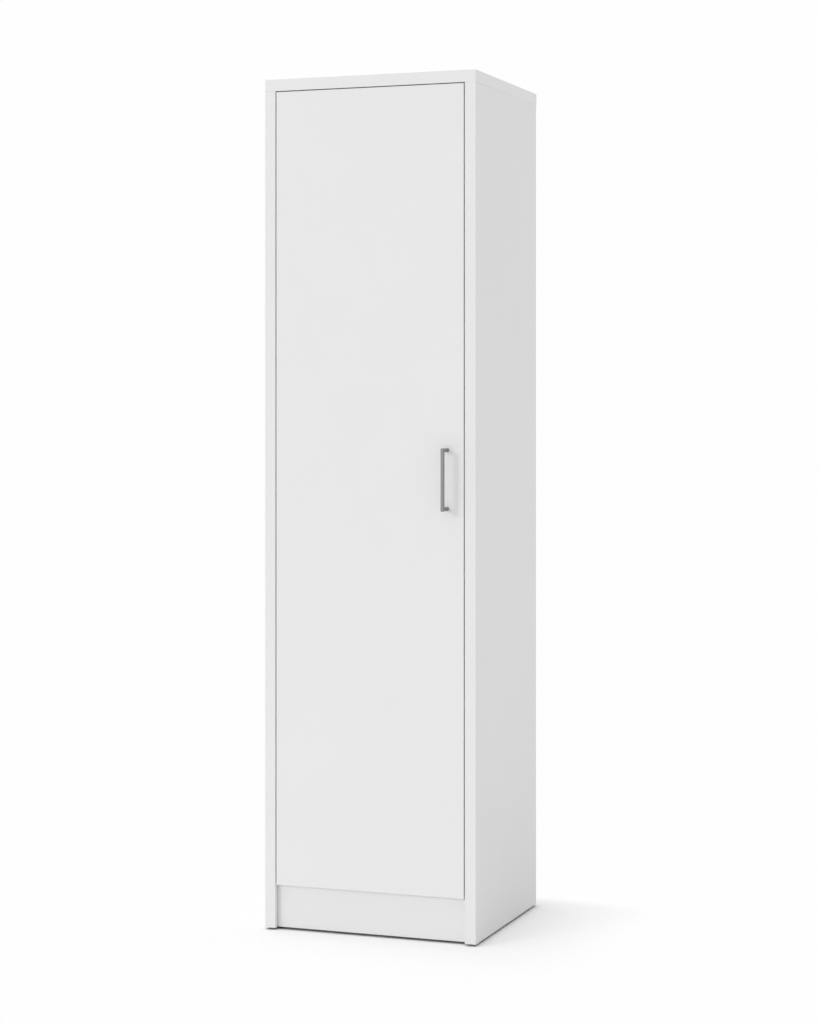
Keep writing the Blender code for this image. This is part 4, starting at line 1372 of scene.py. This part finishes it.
@dataclass
class HangingRail:
    """The oval tube and the open-topped cast socket at each of its ends, sized in millimetres."""

    wall_mm: float = 1.2
    flange_mm: float = 2.5
    flange_step_mm: float = 0.4
    flange_eased_mm: float = 0.3
    socket_wall_mm: float = 2.5
    socket_sunk_mm: float = 1.0
    rim_round_mm: float = 0.7
    bed_fit_mm: float = 0.3
    bed_short_mm: float = 0.1
    ear_mm: float = 13.0
    past_mm: float = 5.0
    low: Vector = field(init=False)
    high: Vector = field(init=False)
    half_mm: float = field(init=False)

    def __post_init__(self) -> None:
        """Finds the tube's box and half of its thickness."""
        self.low, self.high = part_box("hanging_rail")
        self.half_mm = (self.high.y - self.low.y) / 2 / MILLIMETRE

    def build(self) -> None:
        """Models the tube, the sockets and their screws."""
        skin = Vector((-self.past_mm, self.wall_mm, self.wall_mm)) * MILLIMETRE
        round_mm = self.half_mm - SHORT_MM
        tube = Workpiece.block(self.low, self.high).rounded(along(Way.RIGHT), round_mm, steps=12)
        hollow = Workpiece.block(self.low + skin, self.high - skin)
        tube.merged(hollow.rounded(along(Way.RIGHT), round_mm - self.wall_mm, steps=12), Merge.CUT)
        tube.finished("oval_tube", Body.CARCASS, CHROMED_TUBE, ["hanging_rail"])
        across = Matrix.Translation((0, self.low.y + self.high.y, 0)) @ Matrix.Rotation(math.pi, 4, "Z")
        pair = {"right": across, "left": Matrix()}
        self.shape_socket().placed("cast_socket_", Body.CARCASS, SOCKET_METAL, pair, "rail_socket_")
        lower, upper = self.screw_seats()
        lift = Matrix.Translation(upper - lower)
        moves = {"left_lower": Matrix(), "left_upper": lift}
        moves |= {"right_lower": across, "right_upper": across @ lift}
        OVAL_SCREW.shape(lower, Way.RIGHT).placed("socket_screw_", Body.CARCASS, PLATED_STEEL, moves)

    def oval(self, start: float, end: float, wall_mm: float, ear_mm: float = 0.0) -> Workpiece:
        """Starts an oval block round the tube's left end.

        Args:
            start: Its lowest place on X.
            end: Its highest place on X.
            wall_mm: How much it is wider than the tube's bed.
            ear_mm: How much it is longer than that above and below.

        Returns:
            The new workpiece.
        """
        grow = self.bed_fit_mm + wall_mm
        margin = Vector((grow, grow + ear_mm)) * MILLIMETRE
        block = Workpiece.block((start, *(self.low.yz - margin)), (end, *(self.high.yz + margin)))
        return block.rounded(along(Way.RIGHT), self.half_mm + grow - self.bed_short_mm, steps=12)

    def shape_socket(self) -> Workpiece:
        """Models the left socket: a flange, a cup round the tube, and the mouth it drops in by.

        Returns:
            The socket.
        """
        base, rim = (corner.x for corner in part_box("rail_socket_left"))
        face = base + self.flange_mm * MILLIMETRE
        past, skim = self.past_mm * MILLIMETRE, self.bed_short_mm * MILLIMETRE
        root = base + self.socket_sunk_mm * MILLIMETRE
        cup = self.oval(root, rim, self.socket_wall_mm - self.flange_step_mm)
        cup.rounded(level(Way.RIGHT, rim), self.rim_round_mm, steps=3)
        cup.merged(self.oval(face + skim, rim + past, 0.0), Merge.CUT)
        side = (self.half_mm + self.bed_fit_mm) * MILLIMETRE - skim / 2
        middle = (self.low + self.high) / 2
        mouth_low = (face + 2 * skim, middle.y - side, middle.z)
        mouth = Workpiece.block(mouth_low, (rim + past, middle.y + side, self.high.z + past))
        cup.merged(mouth, Merge.CUT)
        socket = self.oval(base, face, self.socket_wall_mm, self.ear_mm)
        socket.rounded(level(Way.RIGHT, face), self.flange_eased_mm, steps=2)
        for seat in self.screw_seats():
            socket.merged(Workpiece.turned(COUNTERSINK, seat, Way.RIGHT, sides=28), Merge.CUT)
        return socket.merged(cup, Merge.JOIN)

    def screw_seats(self) -> tuple[Vector, Vector]:
        """Gives the places of the left socket's screws, on the face of its flange.

        Returns:
            The lower and the upper one.
        """
        low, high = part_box("rail_socket_left")
        inset = self.ear_mm * MILLIMETRE / 2
        x, y = low.x + self.flange_mm * MILLIMETRE, (low.y + high.y) / 2
        return Vector((x, y, low.z + inset)), Vector((x, y, high.z - inset))


@dataclass
class SmallFittings:
    """Shelf pins, cams, glides, door buffers, and the nails of the back, sized in millimetres."""

    nodes: Mapping[str, bpy.types.Object]
    corners: tuple[str, ...] = ("left_front", "left_back", "right_front", "right_back")
    pin: Profile = (
        (2.1, -9.0), (2.5, -8.5), (2.5, 0.3), (3.7, 0.3), (4.0, 0.6), (4.0, 9.0), (3.75, 9.6), (3.1, 9.9),
        (2.4, 10.0),
    )
    glide: Profile = (
        (6.0, 0.0), (8.4, 0.15), (9.3, 0.6), (9.8, 1.4), (10.0, 2.3), (10.0, 3.6), (9.7, 4.0), (1.2, 4.0),
        (1.2, 13.6), (0.1, 16.0),
    )
    buffer: Profile = ((5.0, 0.0), (5.0, 0.5), (4.8, 1.1), (4.2, 1.7), (3.2, 2.15), (1.8, 2.4))
    cam: Screw = Screw(
        ((7.2, -17.7), (7.2, -0.7), (7.0, -0.45), (6.7, -0.3), (5.4, -0.3), (5.2, -0.6), (0.5, -0.6)),
        recess_mm=8.4,
        recess_depth_mm=1.7,
        recess_taper=0.7,
    )
    cam_seat_mm: float = 0.3
    cam_bore: Profile = ((4.0, 0.0), (4.0, 9.0))
    cam_bore_mm: float = 12.5
    nail: Profile = ((0.9, -0.6), (0.9, 0.0), (3.1, 0.0), (3.2, 0.2), (2.7, 0.5), (1.6, 0.7), (0.6, 0.75))
    nail_pitch_mm: float = 210.0
    nail_top_mm: float = 40.0
    nail_shares: tuple[float, ...] = (-0.5, 0.0, 0.5)

    def build(self) -> None:
        """Models one of each and copies it to its places."""
        self.build_turned("collared_pin_", "shelf_pin_", PLATED_STEEL, self.pin, Way.RIGHT, 32)
        self.build_turned("nailed_glide_", "glide_", PALE_NYLON, self.glide, Way.UP, 48)
        pads = ("left", "right")
        self.build_turned("domed_pad_", "door_buffer_", CLEAR_BUFFER, self.buffer, Way.FRONT, 40, pads)
        self.build_cams()
        self.build_nails()
        bolts = [f"cam_bolt_{end}_{corner}" for end in ("top", "base") for corner in self.corners]
        dress(self.nodes, bolts, CAM_METAL)
        dress(self.nodes, ["plinth_block_left", "plinth_block_right"], WHITE_PLASTIC)

    def build_turned(
        self,
        name: str,
        node: str,
        finish: Finish,
        profile: Profile,
        way: Way,
        sides: int,
        ends: Sequence[str] | None = None,
    ) -> None:
        """Turns a fitting at the left front and copies it to its other places, mirrored on the right.

        Args:
            name: Start of the pieces' names.
            node: Start of the names of the nodes that they stand for.
            finish: Their surface.
            profile: Their profile.
            way: Direction of the axis on the left.
            sides: Facets round the axis.
            ends: Ends of the names, the left front one first, if they aren't the four corners.
        """
        ends = ends or self.corners
        low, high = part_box(node + ends[0])
        middle = (low + high) / 2
        root = abs((high - low).dot(way.vector)) / 2 + profile[0][1] * MILLIMETRE
        mirror = Matrix.Scale(-1.0, 4, Way.RIGHT.vector)
        moves = {}
        for end in ends:
            shift = Matrix.Translation((0, middle_of(node + end).y - middle.y, 0))
            moves[end] = shift @ mirror if end.startswith("right") else shift
        pattern = Workpiece.turned(profile, middle - way.vector * root, way, sides)
        pattern.placed(name, Body.CARCASS, finish, moves, node)

    def build_cams(self) -> None:
        """Lets a cross-slotted cam into the board at each joint of the top and base."""
        pattern = self.cam.shape(Vector(), Way.UP)
        foot = (0.0, 0.0, -self.cam_bore_mm * MILLIMETRE)
        pattern.merged(Workpiece.turned(self.cam_bore, foot, Way.RIGHT, sides=24), Merge.CUT)
        facings = {
            ("top", "left"): (Way.RIGHT, Way.UP),
            ("top", "right"): (Way.LEFT, Way.UP),
            ("base", "left"): (Way.DOWN, Way.LEFT),
            ("base", "right"): (Way.DOWN, Way.RIGHT),
        }
        moves = {}
        for end in ("top", "base"):
            for corner in self.corners:
                out, bolt = (way.vector for way in facings[end, corner.split("_")[0]])
                low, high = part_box(f"cam_{end}_{corner}")
                reach = abs((high - low).dot(out)) / 2 + self.cam_seat_mm * MILLIMETRE
                turn = Matrix((bolt, out.cross(bolt), out)).transposed().to_4x4()
                moves[f"{end}_{corner}"] = Matrix.Translation((low + high) / 2 + out * reach) @ turn
        pattern.placed("cast_cam_", Body.CARCASS, CAM_METAL, moves, "cam_")

    def build_nails(self) -> None:
        """Nails the back to the sides, the base and the hat shelf."""
        _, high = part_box("back_panel")
        side_low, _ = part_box("side_panel_right")
        x = (side_low.x + high.x) / 2
        bottom, top = middle_of("base_panel").z, high.z - self.nail_top_mm * MILLIMETRE
        count = round((top - bottom) / (self.nail_pitch_mm * MILLIMETRE))
        heights = [bottom + (top - bottom) * step / count for step in range(count + 1)]
        spots = [Vector((side * x, 0, z)) for z in heights for side in (-1, 1)]
        for z in (bottom, middle_of("hat_shelf").z):
            spots += [Vector((share * x, 0, z)) for share in self.nail_shares]
        moves = {f"{number:02d}": Matrix.Translation(spot) for number, spot in enumerate(spots, 1)}
        pattern = Workpiece.turned(self.nail, (0, high.y, 0), Way.BACK, sides=16)
        pattern.placed("back_nail_", Body.CARCASS, PLATED_STEEL, moves)


def main() -> None:
    """Loads the frame, builds and dresses every sub-assembly, and sets the studio round it."""
    logging.basicConfig(level=logging.INFO, format="%(name)s: %(message)s")
    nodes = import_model()["nodes"]
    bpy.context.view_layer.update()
    Boards(nodes).build()
    BowHandle().build()
    CupHinges().build()
    HangingRail().build()
    SmallFittings(nodes).build()
    Studio().build()


if __name__ == "__main__":
    main()
